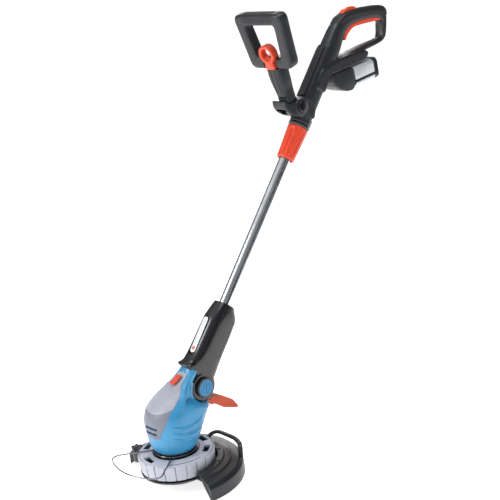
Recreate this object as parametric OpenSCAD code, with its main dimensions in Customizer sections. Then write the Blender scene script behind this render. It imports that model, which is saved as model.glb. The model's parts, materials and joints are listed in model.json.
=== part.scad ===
/* [Cutting head] */
// Outer diameter of the guide wheel around the head
wheel_d = 150; // [140:2:160]
// Height of the guide wheel's top face above the ground
wheel_top = 62; // [60:1:64]
// Outer radius of the debris guard
guard_r = 128; // [122:1:134]
// Reach of the wire plant guard in front of the spool axis
bow_r = 123; // [115:1:130]
// Travel of the bump knob
bump_travel = 5; // [3:1:5]

/* [Shaft] */
// Lean of the shaft from vertical, in degrees
lean = 39.6; // [38:0.2:41]
// Distance of the tilt pivot behind the spool axis
pivot_y = 72; // [70:1:74]
// Height of the tilt pivot above the ground
pivot_z = 169; // [166:1:172]
// Outer diameter of the aluminium tube
tube_d = 24; // [23:0.5:25]
// Wall of the aluminium tube
tube_wall = 1.5; // [1:0.1:2]
// Running clearance of pins and shafts
run = 0.08; // [0.03:0.01:0.1]

/* [Handles] */
// Width of the shank of the main handle
shank_w = 36; // [34:1:38]
// Width of the rear grip
grip_w = 27; // [25:1:29]
// Width of the battery
battery_w = 45; // [42:1:46]
// Outer width of the front loop handle at its top
loop_w = 130; // [120:2:140]

/* [Hidden] */
$fn = 48;
clear = 0.4;
wall = 2.5;
eps = 0.02;
big = 400;
tube_r = tube_d / 2;
tube_y = -16;
wheel_r = wheel_d / 2;
wheel_base = wheel_top - 31;
flange_top = wheel_base - 3.3;
neck_r = 39;
hub_r = 45;
housing_z = wheel_top + 8;
bow_z = wheel_top + 3;
bow_wire = 1.4;
shaft_r = 4;
trigger_pin_r = 1.6;
pivot_pin_r = 6;
tongue_x = 11.7;
cheek_x = 12.1;
knuckle_r = 29;
cap_r = 16.5;
cap_x = 26;
sleeve_s = 482;
collar_s = 553.4;
shank_s = 575;
bolt_pos = [0, 410.7, 650.6];
bolt_r = 5;
eye_r = 14;
loop_pos = [0, 366, 748.5];
loop_lean = 16.2;
battery_pos = [0, 570, 682];
battery_tilt = 7;
knob_pos = [-80, -36, 0];
trigger_pos = [0, 566, 765];
pedal_pos = [0, 80, 129];
latch_pos = [0, 22.5, 197.6];
latch_slope = 24.5;
sections_n = 28;

// Housing outline: front point, rear point, half width and squareness of each section
housing_sections = [
    [[-41, housing_z], [41, housing_z], 41, 2],
    [[-47, 80], [47, 79], 46, 2],
    [[-50, 97], [52, 93], 50, 2.1],
    [[-51, 118], [61, 110], 51, 2.3],
    [[-49, 138], [72, 126], 50, 2.5],
    [[-41, 156], [83, 142], 48, 2.6],
    [[-20, 172], [92, 157], 42, 2.7],
    [[0, 183], [96, 172], 35.5, 2.8],
    [[20, 193], [92, 190], 30, 2.8],
    [[36, 202], [80, 204], 25, 2.6],
    [[47, 214], [64, 213], 17, 2.2]
];
function power(value, exponent) = sign(value) * pow(abs(value), exponent);
function section_point(cut, angle, grow) =
    let(mid = (cut[0] + cut[1]) / 2,
        half = norm(cut[1] - cut[0]) / 2,
        along = (cut[1] - cut[0]) / norm(cut[1] - cut[0]),
        reach = (half + grow) * power(sin(angle), 2 / cut[3]))
    [(cut[2] + grow) * power(cos(angle), 2 / cut[3]), mid[0] + along[0] * reach, mid[1] + along[1] * reach];

// Closed body through the housing sections, grown outwards by a distance
module housing_body(grow) {
    last = len(housing_sections) - 1;
    points = [for (cut = housing_sections) for (i = [0:sections_n - 1]) section_point(cut, 360 * i / sections_n, grow)];
    sides = [for (j = [0:last - 1]) for (i = [0:sections_n - 1])
        [j * sections_n + i, (j + 1) * sections_n + i, (j + 1) * sections_n + (i + 1) % sections_n,
            j * sections_n + (i + 1) % sections_n]];
    low = [for (i = [0:sections_n - 1]) i];
    high = [for (i = [sections_n - 1:-1:0]) last * sections_n + i];
    polyhedron(points, concat([low], sides, [high]));
}

// Places children in the shaft frame: z along the shaft, y to the rear, origin at the pivot
module on_shaft() {
    translate([0, pivot_y, pivot_z]) rotate([-lean, 0, 0]) children();
}

// Places children in the frame of the front loop, z up the loop from its lower bar
module on_loop() {
    translate(loop_pos) rotate([loop_lean, 0, 0]) children();
}

// Places children in the battery frame, y along its slide
module on_battery() {
    translate(battery_pos) rotate([battery_tilt, 0, 0]) children();
}

// Cylinder along x, centred
module axle(r, half) {
    rotate([0, 90, 0]) cylinder(r = r, h = 2 * half, center = true);
}

// Side outline in y and z, extruded to both sides of the middle plane
module slab(outline, half) {
    rotate([90, 0, 90]) linear_extrude(height = 2 * half, center = true) polygon(outline);
}

// Everything on one side of the middle plane: side is 1 for left and -1 for right
module half_space(side) {
    translate([side * big / 2, big, big]) cube([big, 4 * big, 4 * big], center = true);
}

// Straight wire between two points
module wire(start, end, r) {
    span = end - start;
    translate(start) rotate([0, acos(span[2] / norm(span)), atan2(span[1], span[0])]) cylinder(r = r, h = norm(span));
}

// Screw with a pan head, pointing along +x from its head
module side_screw(length) {
    rotate([0, -90, 0]) {
        cylinder(r = 1.5, h = length);
        translate([0, 0, -2]) cylinder(r = 3, h = 2);
    }
}

// ---- main handle ----
grip_outline = [[496, 751], [515, 774], [528, 787], [542, 798], [556, 808], [574, 814], [600, 816], [655, 815.5],
    [690, 812.5], [697, 807], [698, 795], [695, 775], [689, 748], [678, 739], [655, 733], [622, 729],
    [560, 722], [506, 700]];
grip_hole = [[548, 737], [553, 750], [557.5, 758], [561, 764.5], [571, 775], [585, 784], [602, 788.5], [678, 789],
    [682, 784], [680, 752], [675, 747], [630, 742], [598, 737], [560, 729], [550, 729]];
grip_top = [[545, 803], [556, 810], [574, 816], [600, 818], [655, 817.5], [691, 814.5], [699, 808], [700, 795],
    [698, 786], [684, 786], [640, 794], [576, 793], [563, 795]];
grip_core = [[562, 796.5], [574, 808], [600, 812], [655, 811.5], [692, 808], [693, 788], [640, 793], [576, 792]];
trigger_room = [[562, 755], [556, 768], [572, 793], [600, 806], [682.5, 806], [682.5, 780], [600, 780], [575, 765]];
switch_room = [[613, 800], [613, 811], [641, 811], [641, 800]];
button_room = [[567, 803], [567, 825], [610.5, 825], [610.5, 803]];
shank_outline = [[406.5, 638], [500, 751], [535, 735], [440, 612]];
block_outline = [[478, 712], [526, 725], [569, 730], [620, 731], [628, 724], [615, 710], [567, 703.5], [503, 696],
    [480, 664], [455, 680]];
board_room = [[520, 704], [524, 720], [612, 726], [618, 716]];
cradle_outline = [[364, 668], [366, 655], [376, 643], [392, 634], [418, 626], [445, 618], [432, 668], [411, 667],
    [394, 662], [376, 662], [369, 670]];
cradle_r = 42;
bay_outline = [[502.3, 692], [504, 681], [512, 671], [524, 663], [545, 656], [560, 656], [568, 661], [570.5, 690],
    [564, 703], [505.2, 695.9]];

module bolt_at() {
    translate(bolt_pos) children();
}

module swing_room() {
    bolt_at() {
        axle(eye_r + 0.8, 9.5);
        intersection() {
            axle(cradle_r, 13.6);
            slab([[-3, 17], [20, 60], [-80, 80], [-80, -4], [-16, -4], [-14.5, 9]], 30);
        }
        intersection() {
            axle(cradle_r, 9.5);
            slab([[0, 0], [20, 60], [-80, 80], [-80, -12], [-10, -12]], 30);
        }
    }
}

module handle_solid() {
    difference() {
        union() {
            slab(grip_outline, grip_w / 2);
            slab(shank_outline, shank_w / 2);
            slab(block_outline, 20.5);
            slab(cradle_outline, 18.5);
            bolt_at() axle(16.5, 20);
        }
        slab(grip_hole, 30);
        slab(grip_top, 30);
        swing_room();
        bolt_at() axle(bolt_r, 30);
        slab(trigger_room, 9.5);
        slab(board_room, 16);
        on_shaft() translate([0, tube_y, 0]) {
            translate([0, 0, 480]) cylinder(r = tube_r + run, h = 265);
            translate([0, 0, 480]) cylinder(r = 23, h = shank_s - 480);
        }
    }
    difference() {
        slab(grip_core, 10.5);
        slab(trigger_room, 9.5);
        slab(switch_room, 7.5);
        slab(button_room, 6.6);
    }
    translate(trigger_pos) axle(trigger_pin_r, 9.6);
}

module handle_half(side) {
    intersection() {
        handle_solid();
        half_space(side);
    }
}

module handle_shell_left() {
    color("#2f3136") handle_half(1);
}

module handle_shell_right() {
    color("#2f3136") handle_half(-1);
}

module grip_overmould() {
    color("#1d1e20") difference() {
        slab(grip_top, grip_w / 2 + 0.7);
        slab(grip_core, 10.52);
        slab(grip_hole, 30);
        slab(trigger_room, 9.5);
        slab(button_room, 6.6);
    }
}

module shank_strip() {
    strip_w = 15;
    color("#1d1e20") on_shaft() translate([-strip_w / 2, -44.6, 614.5]) cube([strip_w, 3.38, 101.5]);
}

module shaft_collar() {
    color("#26272b") on_shaft() translate([0, tube_y, collar_s]) difference() {
        cylinder(r = 22.5, h = shank_s - collar_s);
        translate([0, 0, -1]) cylinder(r = 15.02, h = 30);
    }
}

module clamp_collet() {
    color("#3a3b40") on_shaft() translate([0, tube_y, 490]) difference() {
        cylinder(r = 15, h = shank_s - 490);
        translate([0, 0, -1]) cylinder(r = tube_r + run, h = 100);
        for (turn = [0, 90]) {
            rotate([0, 0, turn]) translate([-20, -0.8, -1]) cube([40, 1.6, 40]);
        }
    }
}

module trigger_switch() {
    color("#3d3f45") translate([-7, 614, 802]) cube([14, 26, 8.8]);
}

module control_board() {
    color("#2f7d4a") slab([[522, 709], [608, 717.6], [608, 719.2], [522, 710.6]], 15);
}

module battery_bay() {
    color("#2b2c30") difference() {
        slab(bay_outline, 23);
        on_battery() translate([-19, -20, -20]) cube([38, 60, 38.5]);
    }
}

module contact_block() {
    color("#b98a3a") on_battery() translate([-12, -20, -6]) cube([24, 3, 12]);
}

module handle_screws() {
    spots = [[18.5, 440, 640], [grip_w / 2, 520, 752], [grip_w / 2, 640, 736], [20.5, 560, 724], [20.5, 483, 700]];
    color("#6d6f73") for (spot = spots) {
        translate([-spot[0] - 0.6, spot[1], spot[2]]) rotate([0, 90, 0]) cylinder(r = 3, h = 0.6);
    }
}

module bracket_bolt() {
    color("#26272b") bolt_at() {
        axle(bolt_r - run, 20);
        for (side = [-1, 1]) {
            translate([side * 21.5, 0, 0]) axle(9, 1.5);
        }
    }
}

// ---- front loop handle ----
loop_half = loop_w / 2;
loop_outer = [[-48, -12], [48, -12], [57, -2], [loop_half, 93], [57, 101], [-57, 101], [-loop_half, 93], [-57, -2]];
loop_inner = [[-26, 11], [26, 11], [33, 17], [39.5, 71.5], [33.5, 78.5], [-33.5, 78.5], [-39.5, 71.5], [-33, 17]];

// Front outline of the loop in x and z, extruded through its depth
module loop_slab(outline, half) {
    rotate([90, 0, 0]) linear_extrude(height = 2 * half, center = true) polygon(outline);
}

module loop_frame() {
    color("#2f3136") on_loop() difference() {
        loop_slab(loop_outer, 13);
        loop_slab(loop_inner, 20);
        difference() {
            translate([0, 0, 90]) cube([86, 60, 24], center = true);
            translate([0, 0, 89]) cube([90, 18, 17], center = true);
        }
        translate([-18.5, -20, -13]) cube([37, 20.5, 40]);
    }
}

module loop_grip() {
    color("#1d1e20") on_loop() difference() {
        translate([0, 0, 89.68]) cube([85.8, 27.4, 23.26], center = true);
        translate([0, 0, 89]) cube([90, 18.04, 17.04], center = true);
    }
}

module loop_stem() {
    color("#34363b") difference() {
        union() {
            intersection() {
                slab([[354.5, 733], [389, 742], [405, 674], [409, 661], [374, 655], [375, 668]], 13.2);
                union() {
                    bolt_at() difference() {
                        axle(cradle_r - 1, 20);
                        axle(17.4, 21);
                    }
                    slab([[350, 674], [420, 680], [420, 760], [340, 760]], 20);
                    slab([[370, 668], [392, 674], [398, 690], [360, 690]], 20);
                }
            }
            bolt_at() axle(eye_r, 9.1);
            slab([[376, 662], [400, 668], [412, 664.5], [420, 655], [410, 640], [398, 642]], 9.1);
        }
        bolt_at() axle(bolt_r, 30);
        on_loop() translate([-60, -60, -12]) cube([120, 120, 60]);
        on_loop() translate([0, -8, -80]) cylinder(r = 3.4, h = 90);
    }
}

module loop_screws() {
    color("#6d6f73") on_loop() for (side = [-1, 1]) {
        translate([side * 50, 13, 4]) rotate([-90, 0, 0]) cylinder(r = 2.8, h = 0.8);
    }
}

module pull_ring() {
    color("#e84a28") on_loop() translate([0, -8, 0]) difference() {
        union() {
            translate([0, -0.9, 20]) rotate([90, 0, 0]) cylinder(r = 19.5, h = 17.4, center = true);
            translate([-11, -9.6, -11]) cube([22, 17.4, 18]);
        }
        translate([0, 0, 20]) rotate([90, 0, 0]) cylinder(r = 12.5, h = 40, center = true);
        translate([0, 0, -30]) cylinder(r = 3, h = 30);
    }
}

module lock_rod() {
    color("#9a9ca0") on_loop() translate([0, -8, -58]) cylinder(r = 3, h = 58);
}

// ---- tube clamp ----
module clamp_sleeve() {
    sleeve_h = collar_s - sleeve_s - clear;
    color("#e84a28") on_shaft() translate([0, tube_y, sleeve_s]) difference() {
        union() {
            cylinder(r1 = 17.5, r2 = 21, h = sleeve_h);
            for (i = [0:11]) {
                rotate([0, 0, 30 * i + 8]) translate([14, -1.2, 2]) cube([4.4, 2.4, sleeve_h - 6]);
            }
        }
        translate([0, 0, -1]) cylinder(r = 15.3, h = 100);
    }
}

// ---- rear grip controls ----
module trigger() {
    color("#e84a28") difference() {
        slab([[563.5, 757], [573, 769], [588, 779.5], [600, 782.5], [633, 783.5], [678, 784], [681, 787], [679, 792],
            [640, 796], [600, 796], [575, 787], [562, 770]], 9.1);
        translate(trigger_pos) axle(trigger_pin_r + run, 20);
    }
}

module lock_off_button() {
    color("#e84a28") slab([[568, 808], [568, 815], [575, 819.5], [584, 822], [602, 823], [609.5, 818.5],
        [609.5, 808]], 6.2);
}

// ---- battery, in its own frame ----
module battery_barrel(half, low, high, start, end) {
    edge = 6;
    translate([0, start, 0]) rotate([-90, 0, 0]) linear_extrude(height = end - start)
        polygon([[-half, -low - edge], [-half + edge, -low], [half - edge, -low], [half, -low - edge],
            [half, -high + edge], [half - edge, -high], [-half + edge, -high], [-half, -high + edge]]);
}

cell_r = 9.1;
cell_h = 65;

// Puts children on the four cell axes
module cell_spots() {
    for (x = [-9.3, 9.3]) {
        for (z = [-9.3, 9.3]) {
            translate([x, 0, z - 0.2]) rotate([-90, 0, 0]) children();
        }
    }
}

module battery_case() {
    color("#2b2c30") on_battery() difference() {
        union() {
            battery_barrel(battery_w / 2 - 2, -21, 19.5, 1.5, 64);
            battery_barrel(18, -19, 17, -16, 2);
            battery_barrel(battery_w / 2 + 0.3, -23, 21.3, 63.4, 75);
        }
        cell_spots() cylinder(r = cell_r + 0.1, h = cell_h + 0.5);
        translate([-7, 67.5, 2]) cube([14, 20, 12]);
    }
}

module battery_shell_upper() {
    color("#c9cbd2") on_battery() intersection() {
        difference() {
            battery_barrel(battery_w / 2, -22.7, 20.9, 2, 62.6);
            battery_barrel(battery_w / 2 - 1.98, -21.02, 19.52, 0, 70);
        }
        translate([0, 30, 7]) cube([60, 100, 28], center = true);
    }
}

module battery_shell_lower() {
    color("#dcdde2") on_battery() intersection() {
        difference() {
            battery_barrel(battery_w / 2, -22.7, 20.9, 2, 62.6);
            battery_barrel(battery_w / 2 - 1.98, -21.02, 19.52, 0, 70);
        }
        translate([0, 30, -22]) cube([60, 100, 18], center = true);
    }
}

module battery_cells() {
    color("#7fb0d8") on_battery() cell_spots() cylinder(r = cell_r, h = cell_h);
}

module battery_latch() {
    color("#e84a28") on_battery() translate([-6.6, 71.5, 2.4]) cube([13.2, 14, 11.2]);
}

// ---- tube and lower arm, in the shaft frame ----
module shaft_tube() {
    color("#c8cbd0") on_shaft() translate([0, tube_y, 62]) difference() {
        cylinder(r = tube_r, h = 560);
        translate([0, 0, -1]) cylinder(r = tube_r - tube_wall, h = 600);
    }
}

arm_outline = [[-36, 163], [5, 163], [19, 143], [20, 91], [20, 42], [28, 24], [27, 10], [0, 0], [-33, 4], [-33, 22],
    [-64, 22], [-66, 25], [-53, 34], [-46.75, 46], [-44, 128], [-40, 143]];

module arm_solid() {
    difference() {
        union() {
            intersection() {
                slab(arm_outline, 24);
                union() {
                    translate([0, -13, 0]) cylinder(r = 33.5, h = 200);
                    translate([-21, -70, 0]) cube([42, 60, 60]);
                }
            }
            axle(knuckle_r, 20);
            axle(20, cap_x);
        }
        axle(34, cheek_x);
        axle(pivot_pin_r, 40);
        for (side = [-1, 1]) {
            translate([side * cap_x, 0, 0]) axle(cap_r, 4);
        }
        translate([0, tube_y, 62]) cylinder(r = tube_r, h = 200);
        translate([0, tube_y, 30]) cylinder(r = 8, h = 60);
    }
}

module lower_arm_left() {
    color("#2b2c30") on_shaft() intersection() {
        arm_solid();
        half_space(1);
    }
}

module lower_arm_right() {
    color("#2b2c30") on_shaft() intersection() {
        arm_solid();
        half_space(-1);
    }
}

module label_plate() {
    plate_w = 13;
    color("white") on_shaft() translate([0, -46.75, 46]) rotate([88.08, 0, 0]) translate([0, 6, 0.03])
        linear_extrude(height = 1.2) union() {
            translate([-plate_w / 2, plate_w / 2]) square([plate_w, 74 - plate_w]);
            translate([0, plate_w / 2]) circle(plate_w / 2);
            translate([0, 74 - plate_w / 2]) circle(plate_w / 2);
        }
}

module arm_screws() {
    color("#6d6f73") on_shaft() for (s = [70, 125]) {
        translate([-24.6, 4, s]) rotate([0, 90, 0]) cylinder(r = 3, h = 0.6);
    }
}

module pivot_pin() {
    color("#9a9ca0") on_shaft() axle(pivot_pin_r - eps, cap_x - 4);
}

module pivot_cap(side) {
    on_shaft() translate([side * (cap_x - 1.4), 0, 0]) axle(cap_r - 0.1, 2.4);
}

module pivot_cap_left() {
    color("#3c99c8") pivot_cap(1);
}

module pivot_cap_right() {
    color("#3c99c8") pivot_cap(-1);
}

module coiled_lead() {
    color("#1b1b1d") on_shaft() translate([0, tube_y, 36]) cylinder(r = 6, h = 560);
}

// ---- motor housing ----
pedal_window = [[70, 104], [70, 141], [84, 144], [120, 150], [120, 90]];

// Room that the lower arm needs in the housing over its whole tilt
module arm_room() {
    on_shaft() {
        difference() {
            axle(knuckle_r + 1, 60);
            axle(60, tongue_x);
        }
        difference() {
            slab([[-33.8, -2], [-33.8, 80], [80, 80], [80, -8], [20, -8], [20, -2]], 60);
            axle(24, tongue_x);
        }
        slab([[-80, 21.4], [-20, 21.4], [-20, 80], [-80, 80]], 60);
    }
}

module housing_solid() {
    difference() {
        union() {
            difference() {
                housing_body(0);
                housing_body(-wall);
            }
            intersection() {
                housing_body(0);
                on_shaft() slab([[24, 6], [24, -14], [-10, -42], [-44, -30], [-66, 0], [-66, 24], [-33, 24], [-20, 12]], tongue_x);
            }
            on_shaft() axle(23, tongue_x);
        }
        arm_room();
        slab(pedal_window, 15.6);
        on_shaft() axle(pivot_pin_r + run, 60);
        translate([0, 0, housing_z - 2]) cylinder(r = 36, h = 5.5);
        translate(latch_pos) rotate([latch_slope, 0, 0]) cube([9, 18, 12], center = true);
        translate([0, -60, 121]) cube([32, 40, 20], center = true);
    }
}

module housing_half(side) {
    intersection() {
        housing_solid();
        half_space(side);
    }
}

module motor_housing_left() {
    color("#3c99c8") housing_half(1);
}

module motor_housing_right() {
    color("#3c99c8") housing_half(-1);
}

cover_outline = [[0, 105], [20, 107], [23, 115], [31, 130], [35, 142], [36, 158], [33, 171], [27, 183], [17, 192],
    [13.5, 200], [11, 206], [0, 209]];

// Front outline in x and z, mirrored and extruded along y
module front_slab(outline, from_y, to_y) {
    other = [for (i = [len(outline) - 1:-1:0]) [-outline[i][0], outline[i][1]]];
    translate([0, to_y, 0]) rotate([90, 0, 0]) linear_extrude(height = to_y - from_y) polygon(concat(outline, other));
}

module front_cover() {
    color("#c3c4cc") difference() {
        intersection() {
            difference() {
                housing_body(1.5);
                housing_body(0.02);
            }
            front_slab(cover_outline, -80, 42);
        }
        arm_room();
        translate([0, -60, 116]) cube([33, 40, 5], center = true);
        translate([0, -60, 126]) cube([35, 40, 5], center = true);
        translate(latch_pos) rotate([latch_slope, 0, 0]) cube([9, 18, 12], center = true);
    }
}

module vent_grille() {
    color("#17181a") intersection() {
        difference() {
            housing_body(-wall - 0.05);
            housing_body(-wall - 1.6);
        }
        translate([0, -50, 121]) cube([40, 30, 24], center = true);
    }
}

module motor() {
    color("#8d9095") translate([0, 0, 78]) difference() {
        cylinder(r = 22, h = 48);
        translate([0, 0, -1]) cylinder(r = shaft_r + 0.3, h = 60);
    }
}

module motor_mount() {
    color("#3a3b40") translate([0, 0, 74]) difference() {
        cylinder(r = 36, h = 4);
        translate([0, 0, -1]) cylinder(r = 12, h = 6);
    }
}

module shaft_bearing() {
    color("#b8bbc0") translate([0, 0, wheel_top + 4]) difference() {
        cylinder(r = 9, h = 5);
        translate([0, 0, -1]) cylinder(r = shaft_r + run, h = 8);
    }
}

// ---- head base, guard and what is fixed to them ----
module head_base() {
    step_z = wheel_top - 0.5;
    color("#17181a") rotate_extrude($fn = 96) polygon([[9.02, step_z + 4.5], [neck_r - 3, step_z + 4.5],
        [neck_r - 3, step_z], [hub_r - 3, step_z - 3], [hub_r - 3, flange_top - 3], [73, flange_top - 3],
        [73, flange_top], [hub_r, flange_top], [hub_r, step_z], [neck_r, step_z], [neck_r, housing_z],
        [9.02, housing_z]]);
}

guard_start = -12;
guard_sweep = 204;
// Radius and height along the outside of the guard, from its inner flange to its lower edge
guard_outside = [[56, flange_top + 2.6], [77.5, flange_top + 2.6], [78, 42], [90, 42], [92, 40], [104, 39], [106, 36],
    [120, 33], [guard_r - 1, 26], [guard_r, 2]];
guard_inside = [[guard_r - 2.5, 2], [guard_r - 3.5, 25], [118, 30.5], [105, 33.5], [103, 36.5], [91, 37.5],
    [89, 39.5], [80, 39.5], [80, flange_top], [56, flange_top]];
// Carrying arch at the left rear of the guard: its plan outline, and the plan of each foot
arch_outline = [[-11, 80], [-7, 101], [3, 110], [48, 110], [69, 104.5], [88, 93], [83, 84], [65, 97], [47, 102.5],
    [7, 102.5], [1, 96], [-2, 80]];
arch_left_foot = [[-10.4, 80.6], [-8.4, 90.4], [-1.2, 90.4], [-2.6, 80.6]];
arch_right_foot = [[84.6, 88.2], [82.8, 85.2], [75.8, 90.2], [78.3, 93.8]];
arch_z = 50;
left_foot_z = 40.5;
right_foot_z = 30.8;

module guard() {
    color("#2b2c30") difference() {
        union() {
            rotate([0, 0, guard_start]) rotate_extrude(angle = guard_sweep, $fn = 96)
                polygon(concat(guard_outside, guard_inside));
            rotate([0, 0, guard_start + guard_sweep - 4]) rotate_extrude(angle = 16, $fn = 96)
                polygon([[76.5, 34], [97, 34], [97, 39], [76.5, 39]]);
            translate([knob_pos[0], knob_pos[1], 28]) cylinder(r = 9, h = 22);
            translate([0, 0, arch_z]) linear_extrude(height = 7) polygon(arch_outline);
            translate([0, 0, left_foot_z]) linear_extrude(height = arch_z + 0.5 - left_foot_z)
                polygon(arch_left_foot);
            translate([0, 0, right_foot_z]) linear_extrude(height = arch_z + 0.5 - right_foot_z)
                polygon(arch_right_foot);
        }
        translate([knob_pos[0], knob_pos[1], 20]) cylinder(r = 3 + run, h = 60);
    }
}

module line_cutter() {
    color("#9a9ca0") rotate([0, 0, 8]) translate([108, 0, 11]) cube([16, 1.5, 12]);
}

module housing_screws() {
    color("#6d6f73") for (turn = [45:90:315]) {
        rotate([0, 0, turn]) translate([30, 0, housing_z - 6]) cylinder(r = 2, h = 2);
    }
}

module pedal_pin() {
    color("#9a9ca0") translate(pedal_pos) axle(3, 19);
}

module foot_pedal() {
    color("#d8512a") difference() {
        union() {
            slab([[76, 131], [82, 136], [100, 136], [110, 137], [124, 127], [145, 113], [157, 95], [155, 90],
                [121, 104], [100, 121], [84, 124], [77, 126]], 14);
            translate(pedal_pos) axle(7, 14);
        }
        translate(pedal_pos) axle(3 + run, 30);
    }
}

module edging_latch() {
    color("#e0462a") translate(latch_pos) rotate([latch_slope, 0, 0]) {
        translate([-6.5, -12, 0.6]) cube([13, 24, 3.6]);
        translate([-3, -4, -5]) cube([6, 8, 6]);
    }
}

// ---- guide wheel and plant guard ----
slot_angles = [[-64, 9], [-6, 9], [67, 28], [127, 9], [171, 9]];

module guide_wheel() {
    color("#c6c7d1") difference() {
        rotate_extrude($fn = 96) polygon([[hub_r + run, wheel_top - 10], [hub_r + run, wheel_top - 1],
            [hub_r + 1.2, wheel_top], [wheel_r - 4, wheel_top], [wheel_r - 1, wheel_top - 1.2], [wheel_r, wheel_top - 4],
            [wheel_r - 0.6, wheel_top - 12], [wheel_r - 3.5, wheel_base], [wheel_r - 6.5, wheel_base],
            [wheel_r - 4, wheel_top - 12], [wheel_r - 4.6, wheel_top - 4], [hub_r + 3, wheel_top - 4],
            [hub_r + 3, wheel_top - 10]]);
        for (slot = slot_angles) {
            rotate([0, 0, slot[0] - 90 - slot[1]]) rotate_extrude(angle = 2 * slot[1], $fn = 96)
                translate([slot[1] > 20 ? 64 : 56, wheel_top - 8]) square([slot[1] > 20 ? 3 : 9, 12]);
        }
        for (i = [0:21]) {
            rotate([0, 0, 360 * i / 22]) translate([wheel_r - 0.9, -0.6, wheel_base - 1]) cube([4, 1.2, 30]);
        }
    }
}

bow_half_angle = 29;
bow_corner = [bow_r * sin(bow_half_angle), -bow_r * cos(bow_half_angle), bow_z];

module plant_bow() {
    wire_ring_r = neck_r + 2.6;
    root = [27, -sqrt(pow(wire_ring_r, 2) - pow(27, 2)), bow_z];
    elbow = [70, -91, bow_z];
    bend = [67.5, -103, bow_z];
    color("#8a8c90") {
        translate([0, 0, bow_z]) rotate_extrude($fn = 96) translate([wire_ring_r, 0]) circle(r = bow_wire, $fn = 24);
        translate([0, 0, bow_z]) rotate([0, 0, -90 - bow_half_angle])
            rotate_extrude(angle = 2 * bow_half_angle, $fn = 96) translate([bow_r, 0]) circle(r = bow_wire, $fn = 24);
        for (side = [-1, 1]) {
            mirror([side < 0 ? 1 : 0, 0, 0]) {
                wire(root, elbow, bow_wire);
                wire(elbow, bend, bow_wire);
                wire(bend, bow_corner, bow_wire);
                for (joint = [elbow, bend, bow_corner]) {
                    translate(joint) sphere(r = bow_wire + 0.15, $fn = 24);
                }
            }
        }
    }
}

// ---- spool, below the head base ----
spool_low = 20;
spool_high = 45;

module motor_shaft() {
    color("#9a9ca0") {
        translate([0, 0, 16]) cylinder(r = shaft_r, h = 112);
        translate([0, 0, spool_low + 2]) cylinder(r = 10, h = spool_high - spool_low - 2);
    }
}

module spool_carrier() {
    color("#17181a") difference() {
        rotate_extrude($fn = 96) polygon([[shaft_r + 0.02, 47], [shaft_r + 0.02, 50], [40, 50], [40, 24.2], [51, 24.2],
            [53, 22], [53, 14], [51, 12], [38, 12], [38, 47]]);
        for (turn = [0, 180]) {
            rotate([0, 0, turn]) translate([30, 0, 18]) rotate([0, 90, 0]) cylinder(r = 3, h = 40);
        }
    }
}

module line_spool() {
    color("#3a3b40") rotate_extrude() polygon([[10.02, spool_low], [36, spool_low], [36, spool_low + 2],
        [14, spool_low + 2], [14, spool_high - 2], [36, spool_high - 2], [36, spool_high], [10.02, spool_high]]);
}

module wound_line() {
    color("#d9c04a") rotate_extrude() translate([14.02, spool_low + 2.02]) square([19, spool_high - spool_low - 4.04]);
}

module line_eyelets() {
    color("#c8cbd0") for (turn = [0, 180]) {
        rotate([0, 0, turn]) translate([38.5, 0, 18]) rotate([0, 90, 0]) difference() {
            cylinder(r = 3 - eps, h = 17);
            translate([0, 0, -1]) cylinder(r = 1.3, h = 30);
        }
    }
}

// Coil spring between the bump knob and the shaft's drive boss
module feed_spring() {
    turns = 5;
    wire_r = 0.8;
    coil_r = 6.4;
    steps = 60;
    rim = 6;
    low = 5;
    high = spool_low + 1;
    points = [for (i = [0:steps]) for (k = [0:rim - 1])
        let(a = 360 * turns * i / steps, b = 360 * k / rim, r = coil_r + wire_r * cos(b))
        [r * cos(a), r * sin(a), low + (high - low) * i / steps + wire_r * sin(b)]];
    sides = [for (i = [0:steps - 1]) for (k = [0:rim - 1])
        [i * rim + k, i * rim + (k + 1) % rim, (i + 1) * rim + (k + 1) % rim, (i + 1) * rim + k]];
    first = [for (k = [rim - 1:-1:0]) k];
    last = [for (k = [0:rim - 1]) steps * rim + k];
    color("#9a9ca0") polyhedron(points, concat([first], sides, [last]));
}

module bump_knob() {
    color("#1d1e20") rotate_extrude($fn = 96) polygon([[0, 0], [24, 0], [31, 4], [34, 11], [37.4, 12.2],
        [37.4, 20 - bump_travel - 0.6], [8.6, 20 - bump_travel - 0.6], [8.6, 4], [0, 4]]);
}

module star_knob() {
    color("#17181a") translate([knob_pos[0], knob_pos[1], 0]) {
        translate([0, 0, 50.4]) cylinder(r = 6.5, h = 9);
        translate([0, 0, 34]) cylinder(r = 3, h = 20);
        for (i = [0:4]) {
            rotate([0, 0, 72 * i]) translate([6.4, 0, 50.4]) cylinder(r = 2.6, h = 8);
        }
    }
}

handle_shell_left();
handle_shell_right();
grip_overmould();
shank_strip();
shaft_collar();
clamp_collet();
trigger_switch();
control_board();
battery_bay();
contact_block();
handle_screws();
bracket_bolt();
loop_frame();
loop_stem();
loop_grip();
loop_screws();
pull_ring();
lock_rod();
clamp_sleeve();
trigger();
lock_off_button();
battery_case();
battery_shell_upper();
battery_shell_lower();
battery_cells();
battery_latch();
shaft_tube();
lower_arm_left();
lower_arm_right();
label_plate();
arm_screws();
pivot_pin();
pivot_cap_left();
pivot_cap_right();
coiled_lead();
motor_housing_left();
motor_housing_right();
front_cover();
vent_grille();
motor();
motor_mount();
shaft_bearing();
head_base();
guard();
line_cutter();
housing_screws();
pedal_pin();
foot_pedal();
edging_latch();
guide_wheel();
plant_bow();
motor_shaft();
spool_carrier();
line_spool();
wound_line();
line_eyelets();
feed_spring();
bump_knob();
star_knob();
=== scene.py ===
import json
import math
import bmesh
import bpy
from mathutils import Matrix, Vector


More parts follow.
